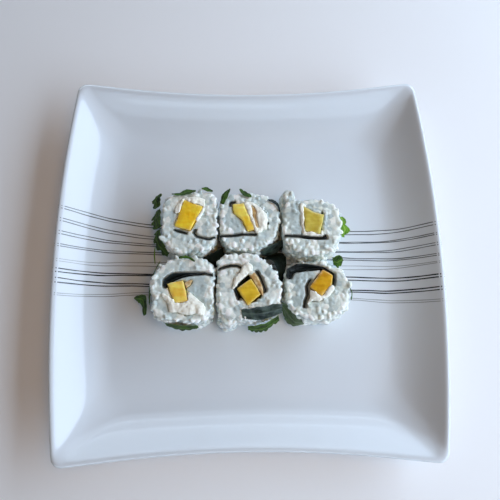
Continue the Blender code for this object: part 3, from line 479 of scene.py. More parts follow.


# Rice: the lengths are millimetres. For each roll, smear is how flat the knife left the cut face and dry how
# white the grains are. The boxes, left, near, right and far of the roll's middle, say where the nori shows
# between the grains (open) and where the rice is painted greyer as painted shade (wet).
riceSet = {
    "grainLength": 6.2,
    "grainWidth": 2.9,
    "sizes": (0.75, 1.12),
    "lying": (0.75, (-0.25, 0.25), (0.4, 1.2)),  # the share that lies flat, and the tilts, lying and standing
    "coreVoxel": 0.8,
    "voxel": 0.42,
    "softened": 5,
    "drawIn": (0.2, 0.55),  # on the cut face and on the sides
    "sunk": (0.28, 0.33),  # of a grain's width, on the cut face and on the sides
    "patch": (0.8, 0.9, 7.0),  # how flat on average, how that varies, and over what distance
    "edge": (1.02, 3.5),  # how far out the flat face ends, and how abruptly
    "cut": (20.0, 1.5, 0.2, 0.92),  # above the underside, its reach down, how low it ends, how complete it is
    "cloud": (0.8, 5.0),  # how the whiteness varies from patch to patch, and over what distance
    "rim": (0.7, 0.9),  # the rice grows whiter beyond this share of the way out, and by how much
    "speckle": 0.2,  # how the whiteness varies from grain to grain
    "wetter": 0.6,  # painted shade: how much less white the grains in the shaded boxes are painted
    "stray": 0.1,
    "crumple": (0.14, 1.6),  # how deep the creases are and how long
    "swell": (0.9, 0.3, 5.5),  # how the surface rises and sinks, how low it lies, and over what distance
    "clearOfFilling": 1.2,
    "clearOfNori": 1.5,
    "clearOfNeighbour": 1.3,
    "groove": (1.3, 2.4),  # its half width and depth along the nori
    "overNori": 0.7,
    "coverSpacing": 2.3,
    "tries": 7000,
    "rolls": {
        "1": {"middle": (-40.3, 23.0), "half": (19, 22), "spacing": 2.7, "smear": 1.0, "dry": 0.5,
              "warm": False, "open": ((-12, -13, 20, -5),)},
        "2": {"middle": (0.1, 24.6), "half": (21, 20), "spacing": 2.7, "smear": 0.95, "dry": 0.35,
              "warm": False, "open": ((-20, -13, 5, -8.8), (-14, 9, -9, 14))},
        "3": {"middle": (42.2, 22.6), "half": (20, 20), "spacing": 2.7, "smear": 0.85, "dry": 0.5,
              "warm": True, "open": ((-20, -13, 11, -9),), "wet": ((-14, -9, 0, 12),)},
        "4": {"middle": (-43.8, -22.4), "half": (20, 22), "spacing": 2.8, "smear": 1.0, "dry": 0.38,
              "warm": False, "open": ((-14, 0, 20, 13),), "wet": ((2, -14, 16, 9),)},
        "5": {"middle": (-0.2, -22.0), "half": (21, 23), "spacing": 2.7, "smear": 0.95, "dry": 0.6,
              "warm": False, "open": ((-21, 8, -3, 18), (-11, -8, -4, 3), (3, -3, 12, 12))},
        "6": {"middle": (44.3, -23.2), "half": (21, 20), "spacing": 2.7, "smear": 0.85, "dry": 0.6,
              "warm": True, "open": ((-21, 2, 14, 18), (-12, -12, -5, 2)), "wet": ((-16, -12, 0, 12),)},
    },
}


def modelGrain():  # a blunt grain along X, slightly bowed, one unit long and one wide
    bpy.ops.object.select_all(action="DESELECT")
    bpy.ops.mesh.primitive_uv_sphere_add(segments=8, ring_count=6, radius=0.5, rotation=(0, math.pi / 2, 0))
    grain = bpy.context.object
    bpy.ops.object.transform_apply(rotation=True)
    for vert in grain.data.vertices:
        vert.select = abs(vert.co.x) > 0.2
    bpy.ops.object.mode_set(mode="EDIT")
    bpy.ops.transform.resize(value=(1.0, 1.18, 1.18))
    bpy.ops.object.mode_set(mode="OBJECT")
    for vert in grain.data.vertices:
        vert.co.z -= 0.35 * vert.co.x ** 2
    places = coordinates(grain.data)
    faces = [tuple(polygon.vertices) for polygon in grain.data.polygons]
    bpy.data.objects.remove(grain)
    return places, faces


grainPlaces, grainFaces = modelGrain()
fillingNodes = {
    name: [f"{kind}_{name}" for kind in ("mango", "slice", "cream_cheese", "nori", "nori_inner")
           if f"{kind}_{name}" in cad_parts]
    for name in rollNames
}
noriNodes = {name: [node for node in fillingNodes[name] if node.startswith("nori")] for name in rollNames}
leafTree = treeOf([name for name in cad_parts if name.startswith("leaf")])


def distanceTo(tree, place):
    found = tree.find_nearest(place, 20 * mm)
    return found[3] if found[0] is not None else 20 * mm


def isWithin(name, kind, place):  # whether a place lies in one of the roll's open boxes or its boxes of painted shade
    look = riceSet["rolls"][name]
    x, y = place[0] / mm - look["middle"][0], place[1] / mm - look["middle"][1]
    return any(left < x < right and near < y < far for left, near, right, far in look.get(kind, ()))


def randomSpots(mesh, polygons, draw, tries):  # evenly likely places on some faces of a mesh
    areas = np.array([polygon.area for polygon in polygons]).cumsum()
    for _ in range(tries):
        polygon = polygons[min(int(np.searchsorted(areas, draw.random() * areas[-1])), len(areas) - 1)]
        corners = [mesh.vertices[i].co for i in polygon.vertices]
        a, b = sorted((draw.random(), draw.random()))
        yield corners[0] * a + corners[1] * (b - a) + corners[2] * (1 - b), polygon.normal.copy()


class Spread:  # keeps places apart
    def __init__(self, spacing):
        self.spacing = spacing
        self.cells = {}

    def take(self, place):
        cell = tuple(int(math.floor(c / self.spacing)) for c in place)
        for i in (-1, 0, 1):
            for j in (-1, 0, 1):
                for k in (-1, 0, 1):
                    for other in self.cells.get((cell[0] + i, cell[1] + j, cell[2] + k), ()):
                        if (place - other).length < self.spacing:
                            return False
        self.cells.setdefault(cell, []).append(place)
        return True


def grainSpots(name, core, trees, draw):  # evenly spread places with their outward directions
    look = riceSet["rolls"][name]
    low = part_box("rice_" + name)[0]
    spread = Spread(look["spacing"] * mm)
    spots = []
    for place, normal in randomSpots(core.data, core.data.polygons, draw, riceSet["tries"]):
        if place.z < low.z + 1.6 * mm or normal.z < -0.5:
            continue
        top = normal.z > 0.7
        if distanceTo(trees["firm"], place) < riceSet["clearOfFilling"] * mm:
            continue
        if isWithin(name, "open", place) and distanceTo(trees["nori"], place) < riceSet["clearOfNori"] * mm:
            continue
        if distanceTo(leafTree, place) < riceSet["clearOfFilling"] * mm:
            continue
        if not top and distanceTo(trees["others"], place) < riceSet["clearOfNeighbour"] * mm:
            continue
        if spread.take(place):
            spots.append((place, normal, top))
    cover = Spread(riceSet["coverSpacing"] * mm)
    for node in noriNodes[name]:
        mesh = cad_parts[node].data
        tops = [polygon for polygon in mesh.polygons if polygon.normal.z > 0.7]
        for place, normal in randomSpots(mesh, tops, draw, 400):
            if isWithin(name, "open", place) or distanceTo(trees["firm"], place) < riceSet["overNori"] * mm:
                continue
            if cover.take(place):
                spots.append((place - Vector((0, 0, 0.3 * mm)), Vector((0, 0, 1)), True))
    return spots


def grainTurn(outward, draw, lie):  # a rotation that lays the grain on the surface
    side = outward.orthogonal().normalized()
    side = Matrix.Rotation(draw.uniform(0, 2 * math.pi), 3, outward) @ side
    along = (side * math.cos(lie) + outward * math.sin(lie)).normalized()
    across = outward.cross(along).normalized()
    return Matrix((along, across, along.cross(across))).transposed()


def howFar(name, place):  # from the roll's middle, 1 at its outline
    look = riceSet["rolls"][name]
    return max(abs(place[0] / mm - look["middle"][0]) / look["half"][0],
               abs(place[1] / mm - look["middle"][1]) / look["half"][1])


def howFlat(name, place, outward):  # how much the knife smeared the grains here, up to 1
    if outward[2] < 0.7:
        return 0.0
    base, change, size = riceSet["patch"]
    end, slope = riceSet["edge"]
    patch = base + change * noise.noise(Vector(place) / (size * mm) + Vector((3, 1, 8)))
    edge = min(1.0, max(0.0, (end - howFar(name, place)) * slope))
    return min(1.0, max(0.0, riceSet["rolls"][name]["smear"] * edge * patch))


def swellAt(place):
    height, low, size = riceSet["swell"]
    return height * (noise.noise(place / (size * mm)) - low)


def makeGrains(name, spots, draw):  # one mesh of all loose grains, with each grain's middle and whiteness
    look = riceSet["rolls"][name]
    points, faces, middles, tones = [], [], [], []
    share, flat, upright = riceSet["lying"]
    low, gain = riceSet["rim"]
    for place, outward, top in spots:
        size = draw.uniform(*riceSet["sizes"])
        flatness = howFlat(name, place, outward)
        lie = draw.uniform(*(flat if draw.random() < share else upright))
        turn = grainTurn(outward, draw, lie)
        width = riceSet["grainWidth"] * size
        uneven = draw.gauss(0, riceSet["stray"]) * (1 - 0.7 * flatness)
        sunk = width * (riceSet["sunk"][0 if top else 1] + uneven)
        middle = place + outward * (swellAt(place) - sunk) * mm
        length = riceSet["grainLength"] * size * draw.uniform(0.8, 1.05)
        shaped = grainPlaces * np.array((length, width, width * draw.uniform(0.8, 0.95))) * mm
        start = len(points)
        points += [Vector(p) for p in (shaped @ np.array(turn.transposed()) + np.array(middle))]
        faces += [tuple(start + i for i in face) for face in grainFaces]
        middles.append(middle)
        outer = min(howFar(name, place), 1.0) if top else 1.0
        change, size = riceSet["cloud"]
        cloud = change * noise.noise(place / (size * mm) + Vector((6, 2, 4)))
        # painted shade: grains in the roll's shaded boxes are painted less white
        wet = riceSet["wetter"] if isWithin(name, "wet", place) else 0.0
        tones.append(look["dry"] - wet + gain * (outer - low) + cloud + draw.gauss(0, riceSet["speckle"]))
    mesh = bpy.data.meshes.new("grains")
    mesh.from_pydata(points, [], faces)
    grains = bpy.data.objects.new("grains", mesh)
    bpy.context.scene.collection.objects.link(grains)
    return grains, middles, tones


def makeRice(name, material):
    draw = random.Random(40 + int(name))
    rice = mergedCopy("rice_" + name, "rice" + name)
    trees = {
        "firm": treeOf([node for node in fillingNodes[name] if not node.startswith("nori")]),
        "nori": treeOf(noriNodes[name]),
        "others": treeOf(["rice_" + other for other in rollNames if other != name]),
    }
    applyModifier(rice, "REMESH", mode="VOXEL", voxel_size=riceSet["coreVoxel"] * mm)
    applyModifier(rice, "SMOOTH", factor=0.5, iterations=5)
    applyModifier(rice, "TRIANGULATE")
    block = BVHTree.FromPolygons([vert.co.copy() for vert in rice.data.vertices],
                                 [tuple(polygon.vertices) for polygon in rice.data.polygons])
    spots = grainSpots(name, rice, trees, draw)
    places, normals = coordinates(rice.data), vertexNormals(rice.data)
    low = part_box("rice_" + name)[0]
    for i, place in enumerate(places):
        spot = Vector(place)
        clear = min(distanceTo(trees["firm"], spot), distanceTo(trees["nori"], spot))
        if clear > riceSet["clearOfFilling"] * mm and place[2] > low.z + 1 * mm:
            inward = riceSet["drawIn"][0 if normals[i][2] > 0.7 else 1]
            places[i] += normals[i] * (swellAt(spot) - inward) * mm
    setCoordinates(rice.data, places)
    grains, middles, tones = makeGrains(name, spots, draw)
    selectOnly(rice, grains)
    bpy.ops.object.join()
    applyModifier(rice, "REMESH", mode="VOXEL", voxel_size=riceSet["voxel"] * mm)
    keepLargest(rice)
    places, normals = coordinates(rice.data), vertexNormals(rice.data)
    width, depth = riceSet["groove"]
    creases, size = riceSet["crumple"]
    above, reach, below, share = riceSet["cut"]
    for i, place in enumerate(places):
        spot = Vector(place)
        places[i] += normals[i] * creases * mm * noise.fractal(spot / (size * mm), 0.8, 2.0, 3)
        if place[2] < low.z + above * mm:
            continue
        ground, outward, _, _ = block.find_nearest(spot)
        height = (spot - ground).dot(outward)
        flatness = howFlat(name, ground, outward)
        if height > -reach * mm and flatness > 0:  # the knife cut these grains through and filled the pits
            places[i] -= np.array(outward) * (height + below * mm) * share * flatness
        if isWithin(name, "open", spot):
            near = distanceTo(trees["nori"], spot) / mm
            places[i][2] -= depth * max(0.0, 1 - near / width) * mm
    keepBelowTop(places)
    setCoordinates(rice.data, places)
    applyModifier(rice, "SMOOTH", factor=0.5, iterations=riceSet["softened"])
    rice.data.shade_smooth()
    markHollows(rice, 14, 1.6)
    tree = KDTree(len(middles))
    for i, middle in enumerate(middles):
        tree.insert(middle, i)
    tree.balance()
    values = [min(1.0, max(0.0, tones[tree.find(place)[1]])) for place in coordinates(rice.data)]
    addAttribute(rice.data, "tone", values)
    dress(rice, material, "rice", "rice_" + name)
    print("rice", name, "made:", len(middles), "grains,", 2 * len(rice.data.polygons), "triangles")


# the last colour of each rice is the painted shade in the creases between its grains
coolRice = steamedRice("cool moist sushi rice", "c3d1d0", "fcfff5", "a1b4b3")
warmRice = steamedRice("warm white sushi rice", "c0cdcb", "fcfff3", "a4b5b1")
for rollName in rollNames:
    makeRice(rollName, warmRice if riceSet["rolls"][rollName]["warm"] else coolRice)


# Mango: ripe flesh cut with a wet knife, so it is smooth, juicy and streaked along its fibres. The crests of
# its rounded edges are painted paler as a painted highlight
def ripeMango(name, deep, light, edge):
    material, tree, shader = newMaterial(
        name, Roughness=0.3, IOR=1.4, Subsurface_Weight=0.3, Subsurface_Scale=2.5 * mm,
        Subsurface_Radius=(1.0, 0.6, 0.2), Coat_Weight=0.2, Coat_Roughness=0.15)
    where = addNode(tree, "TexCoord").outputs["Object"]
    fibre = addNode(tree, "Mapping", {"Vector": where, "Rotation": (0, 0, 0.5), "Scale": (90, 420, 90)})
    streak = addNode(tree, "TexNoise", {"Vector": fibre.outputs[0], "Scale": 1.0, "Detail": 4.0})
    broad = addNode(tree, "TexNoise", {"Vector": where, "Scale": 130.0, "Detail": 1.0})
    blend = addNode(tree, "Math", {0: streak.outputs[0], 1: broad.outputs[0]}, operation="ADD")
    soft = addNode(tree, "MapRange", {"Value": blend.outputs[0], "From Min": 0.8, "From Max": 1.25})
    flesh = addNode(tree, "Mix", {0: soft.outputs[0], 6: hexColour(deep), 7: hexColour(light)},
                    data_type="RGBA")
    relief = addNode(tree, "Attribute", attribute_name="relief").outputs["Fac"]
    # painted highlight: the crests of the rounded edges are painted towards the pale edge colour
    rim = addNode(tree, "MapRange", {"Value": relief, "From Min": 0.62, "From Max": 0.95, "To Max": 0.3})
    cut = addNode(tree, "Mix", {0: rim.outputs[0], 6: flesh.outputs[2], 7: hexColour(edge)}, data_type="RGBA")
    bump = addNode(tree, "Bump", {"Height": streak.outputs[0], "Strength": 0.15, "Distance": 0.3 * mm})
    linkShader(tree, shader, cut, bump)
    return material


# Cream cheese: soft and matt, smeared by the knife into ridges, with painted shade in the creases between
# them
def creamCheese():
    material, tree, shader = newMaterial(
        "spread cream cheese", Roughness=0.5, IOR=1.4, Subsurface_Weight=0.3, Subsurface_Scale=1.5 * mm,
        Subsurface_Radius=(1.0, 0.98, 0.9))
    where = addNode(tree, "TexCoord").outputs["Object"]
    relief = addNode(tree, "Attribute", attribute_name="relief").outputs["Fac"]
    # painted shade: the creases between the ridges take the slightly darker first colour
    creaseShadeMask = addNode(tree, "MapRange", {"Value": relief, "From Min": 0.1, "From Max": 0.45})
    tint = addNode(tree, "Mix", {0: creaseShadeMask.outputs[0], 6: hexColour("f0f0de"), 7: hexColour("ffffee")},
                   data_type="RGBA")
    smear = addNode(tree, "TexNoise", {"Vector": where, "Scale": 700.0, "Detail": 4.0})
    bump = addNode(tree, "Bump", {"Height": smear.outputs[0], "Strength": 0.12, "Distance": 0.4 * mm})
    linkShader(tree, shader, tint, bump)
    return material


# Tan slice: a cooked, browned strip with a pale cut face and a darker skin
def brownedSlice():
    material, tree, shader = newMaterial(
        "browned cooked slice", Roughness=0.42, IOR=1.4, Subsurface_Weight=0.2, Subsurface_Scale=1.5 * mm,
        Subsurface_Radius=(1.0, 0.7, 0.4))
    where = addNode(tree, "TexCoord").outputs["Object"]
    patch = addNode(tree, "TexNoise", {"Vector": where, "Scale": 260.0, "Detail": 3.0})
    spread = addNode(tree, "MapRange", {"Value": patch.outputs[0], "From Min": 0.4, "From Max": 0.65})
    tint = addNode(tree, "Mix", {0: spread.outputs[0], 6: hexColour("b98f4e"), 7: hexColour("e4cfa0")},
                   data_type="RGBA")
    bump = addNode(tree, "Bump", {"Height": patch.outputs[0], "Strength": 0.3, "Distance": 0.4 * mm})
    linkShader(tree, shader, tint, bump)
    return material


# Fillings: voxel gives how finely each is shaped, rounding how soft its cut edges are, waves its unevenness
fillingSet = {
    "mango": {"voxel": 0.5, "rounding": 5, "waves": 0.3, "waveSize": 5.0, "tufts": 0.0, "swell": 0.1,
              "slot": "mango"},
    "cream_cheese": {"voxel": 0.4, "rounding": 3, "waves": 1.0, "waveSize": 5.5, "tufts": 0.3, "swell": 0.35,
                     "slot": "cream_cheese"},
    "slice": {"voxel": 0.4, "rounding": 3, "waves": 0.25, "waveSize": 3.0, "tufts": 0.0, "swell": 0.1,
              "slot": "tan_slice"},
}


def makeFilling(kind, name, material):
    look = fillingSet[kind]
    node = f"{kind}_{name}"
    piece = mergedCopy(node, kind.replace("_c", "C") + name)
    applyModifier(piece, "REMESH", mode="VOXEL", voxel_size=look["voxel"] * mm)
    applyModifier(piece, "SMOOTH", factor=0.5, iterations=look["rounding"])
    places, normals = coordinates(piece.data), vertexNormals(piece.data)
    top = places[:, 2].max()
    for i, place in enumerate(places):
        near = max(0.0, 1 - (top - place[2]) / (6 * mm))
        spot = Vector(place) / (look["waveSize"] * mm)
        swell = (look["waves"] * noise.fractal(spot, 0.7, 2.0, 3) + look["swell"]) * near
        if look["tufts"]:
            swell += look["tufts"] * near * (abs(noise.noise(spot * 1.7 + Vector((9, 4, 1)))) - 0.25)
        places[i] += normals[i] * swell * mm
    keepBelowTop(places)
    setCoordinates(piece.data, places)
    applyModifier(piece, "SMOOTH", factor=0.4, iterations=1)
    piece.data.shade_smooth()
    markHollows(piece, 16, 1.4)
    dress(piece, material, look["slot"], node)


# for each mango: deep and light flesh, and the pale colour of the painted highlight on its edges
mangoTints = {
    "1": ("f6c410", "fede3a", "f8e690"), "2": ("f8cc33", "feec70", "f8eaa4"),
    "3": ("cbb43f", "dfce61", "eae09c"), "4": ("f6c744", "fee468", "f8e4a4"),
    "5": ("d4aa18", "eeca36", "f4e094"), "6": ("cc9404", "e6b418", "f4d88a"),
}
cheese = creamCheese()
slices = brownedSlice()
for rollName in rollNames:
    makeFilling("mango", rollName, ripeMango("ripe mango of roll " + rollName, *mangoTints[rollName]))
    makeFilling("cream_cheese", rollName, cheese)
    if "slice_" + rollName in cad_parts:
        makeFilling("slice", rollName, slices)
print("fillings made")


# Nori: pressed seaweed, gone soft and shiny in the moist rice, black with a green cast
def moistNori():
    material, tree, shader = newMaterial("moist pressed nori", Roughness=0.38, IOR=1.45, Coat_Weight=0.15)
    where = addNode(tree, "TexCoord").outputs["Object"]
    patch = addNode(tree, "TexNoise", {"Vector": where, "Scale": 420.0, "Detail": 4.0})
    tint = addNode(tree, "Mix", {0: patch.outputs[0], 6: hexColour("0b0f0f"), 7: hexColour("1e2723")},
                   data_type="RGBA")
    bump = addNode(tree, "Bump", {"Height": patch.outputs[0], "Strength": 0.5, "Distance": 0.2 * mm})
    linkShader(tree, shader, tint, bump)
    return material


# Nori: torn is how far down the cut edge is uneven, hollow how deep a folded band sags beyond the strip that
# its neighbours hold up, and hidden how far it lies below the rice where no line shows.
noriSet = {"torn": 3.5, "cuts": 5, "ragged": 0.6, "sway": 0.22, "grain": 1.6, "hollow": 3.0, "held": 0.5,
           "hidden": 1.4}


def makeNori(node, material):
    piece = mergedCopy(node, node.replace("_", ""))
    top = max(vert.co.z for vert in piece.data.vertices)
    bpy.ops.object.mode_set(mode="EDIT")
    bpy.ops.mesh.select_all(action="SELECT")
    bpy.ops.mesh.bisect(plane_co=(0, 0, top - noriSet["torn"] * mm), plane_no=(0, 0, 1))
    bpy.ops.mesh.select_all(action="DESELECT")
    bpy.ops.mesh.select_mode(type="FACE")
    bpy.ops.object.mode_set(mode="OBJECT")
    for polygon in piece.data.polygons:
        polygon.select = polygon.center.z > top - noriSet["torn"] * mm
    bpy.ops.object.mode_set(mode="EDIT")
    bpy.ops.mesh.subdivide(number_cuts=noriSet["cuts"])
    bpy.ops.object.mode_set(mode="OBJECT")
    name = node[-1]
    around = treeOf(["rice_" + name] + [near for near in fillingNodes[name] if near not in noriNodes[name]])
    for vert in piece.data.vertices:
        near = max(0.0, 1 - (top - vert.co.z) / (noriSet["torn"] * mm))
        within = max(0.0, distanceTo(around, vert.co) / mm - noriSet["held"])
        sag = min(noriSet["hollow"], 2.0 * within)
        if not isWithin(name, "open", vert.co):
            sag += noriSet["hidden"]
        vert.co.z -= near * sag * mm
        spot = Vector((vert.co.x, vert.co.y, 0)) / (noriSet["grain"] * mm)
        vert.co.z += near * noriSet["ragged"] * (noise.noise(spot) - 0.3) * mm
        vert.co.x += near * noriSet["sway"] * noise.noise(spot * 0.6 + Vector((7, 0, 0))) * mm
        vert.co.y += near * noriSet["sway"] * noise.noise(spot * 0.6 + Vector((0, 7, 0))) * mm
    piece.data.shade_smooth()
    piece.data.set_sharp_from_angle(angle=math.radians(40))
    dress(piece, material, "nori", node)


nori = moistNori()
for nodeName in sorted(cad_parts):
    if nodeName.startswith("nori"):
        makeNori(nodeName, nori)
print("nori made")


# Leaves: fresh or wilted, thin, with a sunk midrib, paler veins and a toothed edge
def leafMaterial(name, dark, light, vein, veined, roughness):
    material, tree, shader = newMaterial(
        name, Roughness=roughness, IOR=1.35, Specular_IOR_Level=0.25, Subsurface_Weight=0.12,
        Subsurface_Scale=0.6 * mm, Subsurface_Radius=(0.5, 1.0, 0.2))
    where = addNode(tree, "TexCoord")
    patch = addNode(tree, "TexNoise", {"Vector": where.outputs["Object"], "Scale": 210.0, "Detail": 4.0})
    spread = addNode(tree, "MapRange", {"Value": patch.outputs[0], "From Min": 0.36, "From Max": 0.66})
    blade = addNode(tree, "Mix", {0: spread.outputs[0], 6: hexColour(dark), 7: hexColour(light)},
                    data_type="RGBA")
    split = addNode(tree, "SeparateXYZ", {"Vector": where.outputs["UV"]})
    across = addNode(tree, "Math", {0: split.outputs["Y"], 1: 0.5}, operation="SUBTRACT")
    out = addNode(tree, "Math", {0: across.outputs[0]}, operation="ABSOLUTE")
    slant = addNode(tree, "Math", {0: out.outputs[0], 1: -1.1, 2: split.outputs["X"]},
                    operation="MULTIPLY_ADD")
    many = addNode(tree, "Math", {0: slant.outputs[0], 1: 6.0}, operation="MULTIPLY")
    near = addNode(tree, "Math", {0: many.outputs[0], 1: 1.0}, operation="PINGPONG")
    side = addNode(tree, "MapRange", {"Value": near.outputs[0], "From Min": 0.0, "From Max": 0.22,
                                      "To Min": 0.6 * veined, "To Max": 0.0})
    rib = addNode(tree, "MapRange", {"Value": out.outputs[0], "From Min": 0.0, "From Max": 0.07,
                                     "To Min": veined, "To Max": 0.0})
    edge = addNode(tree, "MapRange", {"Value": out.outputs[0], "From Min": 0.42, "From Max": 0.5,
                                      "To Min": 0.0, "To Max": 0.55})
    lines = addNode(tree, "Math", {0: side.outputs[0], 1: rib.outputs[0]}, operation="MAXIMUM")
    lines = addNode(tree, "Math", {0: lines.outputs[0], 1: edge.outputs[0]}, operation="MAXIMUM")
    tint = addNode(tree, "Mix", {0: lines.outputs[0], 6: blade.outputs[2], 7: hexColour(vein)},
                   data_type="RGBA")
    height = addNode(tree, "Math", {0: patch.outputs[0], 1: 3.0, 2: lines.outputs[0]},
                     operation="MULTIPLY_ADD")
    bump = addNode(tree, "Bump", {"Height": height.outputs[0], "Strength": 0.6, "Distance": 0.4 * mm})
    linkShader(tree, shader, tint, bump)
    return material


leafKinds = {
    "herb": leafMaterial("fresh herb leaf", "142a02", "3c6008", "6c9030", 0.6, 0.55),
    "bright": leafMaterial("young bright leaf", "447012", "6c9a24", "9cbc58", 0.8, 0.5),
    "dark": leafMaterial("wilted dark leaf", "1c2824", "4a5850", "76847a", 0.3, 0.36),
    # the deep kind is near-black; where it lies in the gaps between the rolls its darkness also stands for
    # painted shade
    "deep": leafMaterial("wet black-green leaf", "0e1512", "1d2823", "35423a", 0.4, 0.36),
    "smooth": leafMaterial("smooth round leaf", "40582f", "587043", "7c8f6c", 0.6, 0.34),
}
leafSet = {
    "steps": 44,
    "rows": 10,
    "thickness": 0.3,
    "ends": {"full": (0.75, 0.4, 0.0), "tucked": (0.45, 0.5, -0.5), "free": (0.25, 0.42, 0.0)},
    "tucked": ("leaf_1_bud", "leaf_1_side", "leaf_1_low", "leaf_4_side", "leaf_4_near", "leaf_5_near",
               "leaf_3_bright", "leaf_3_low", "leaf_6_tip", "leaf_6_smooth"),
    "full": ("leaf_2_low", "leaf_5_flap", "leaf_gap", "leaf_notch"),
}  # ends says how wide a leaf ends, how full it is and where it is held, and tucked ones hang by an edge
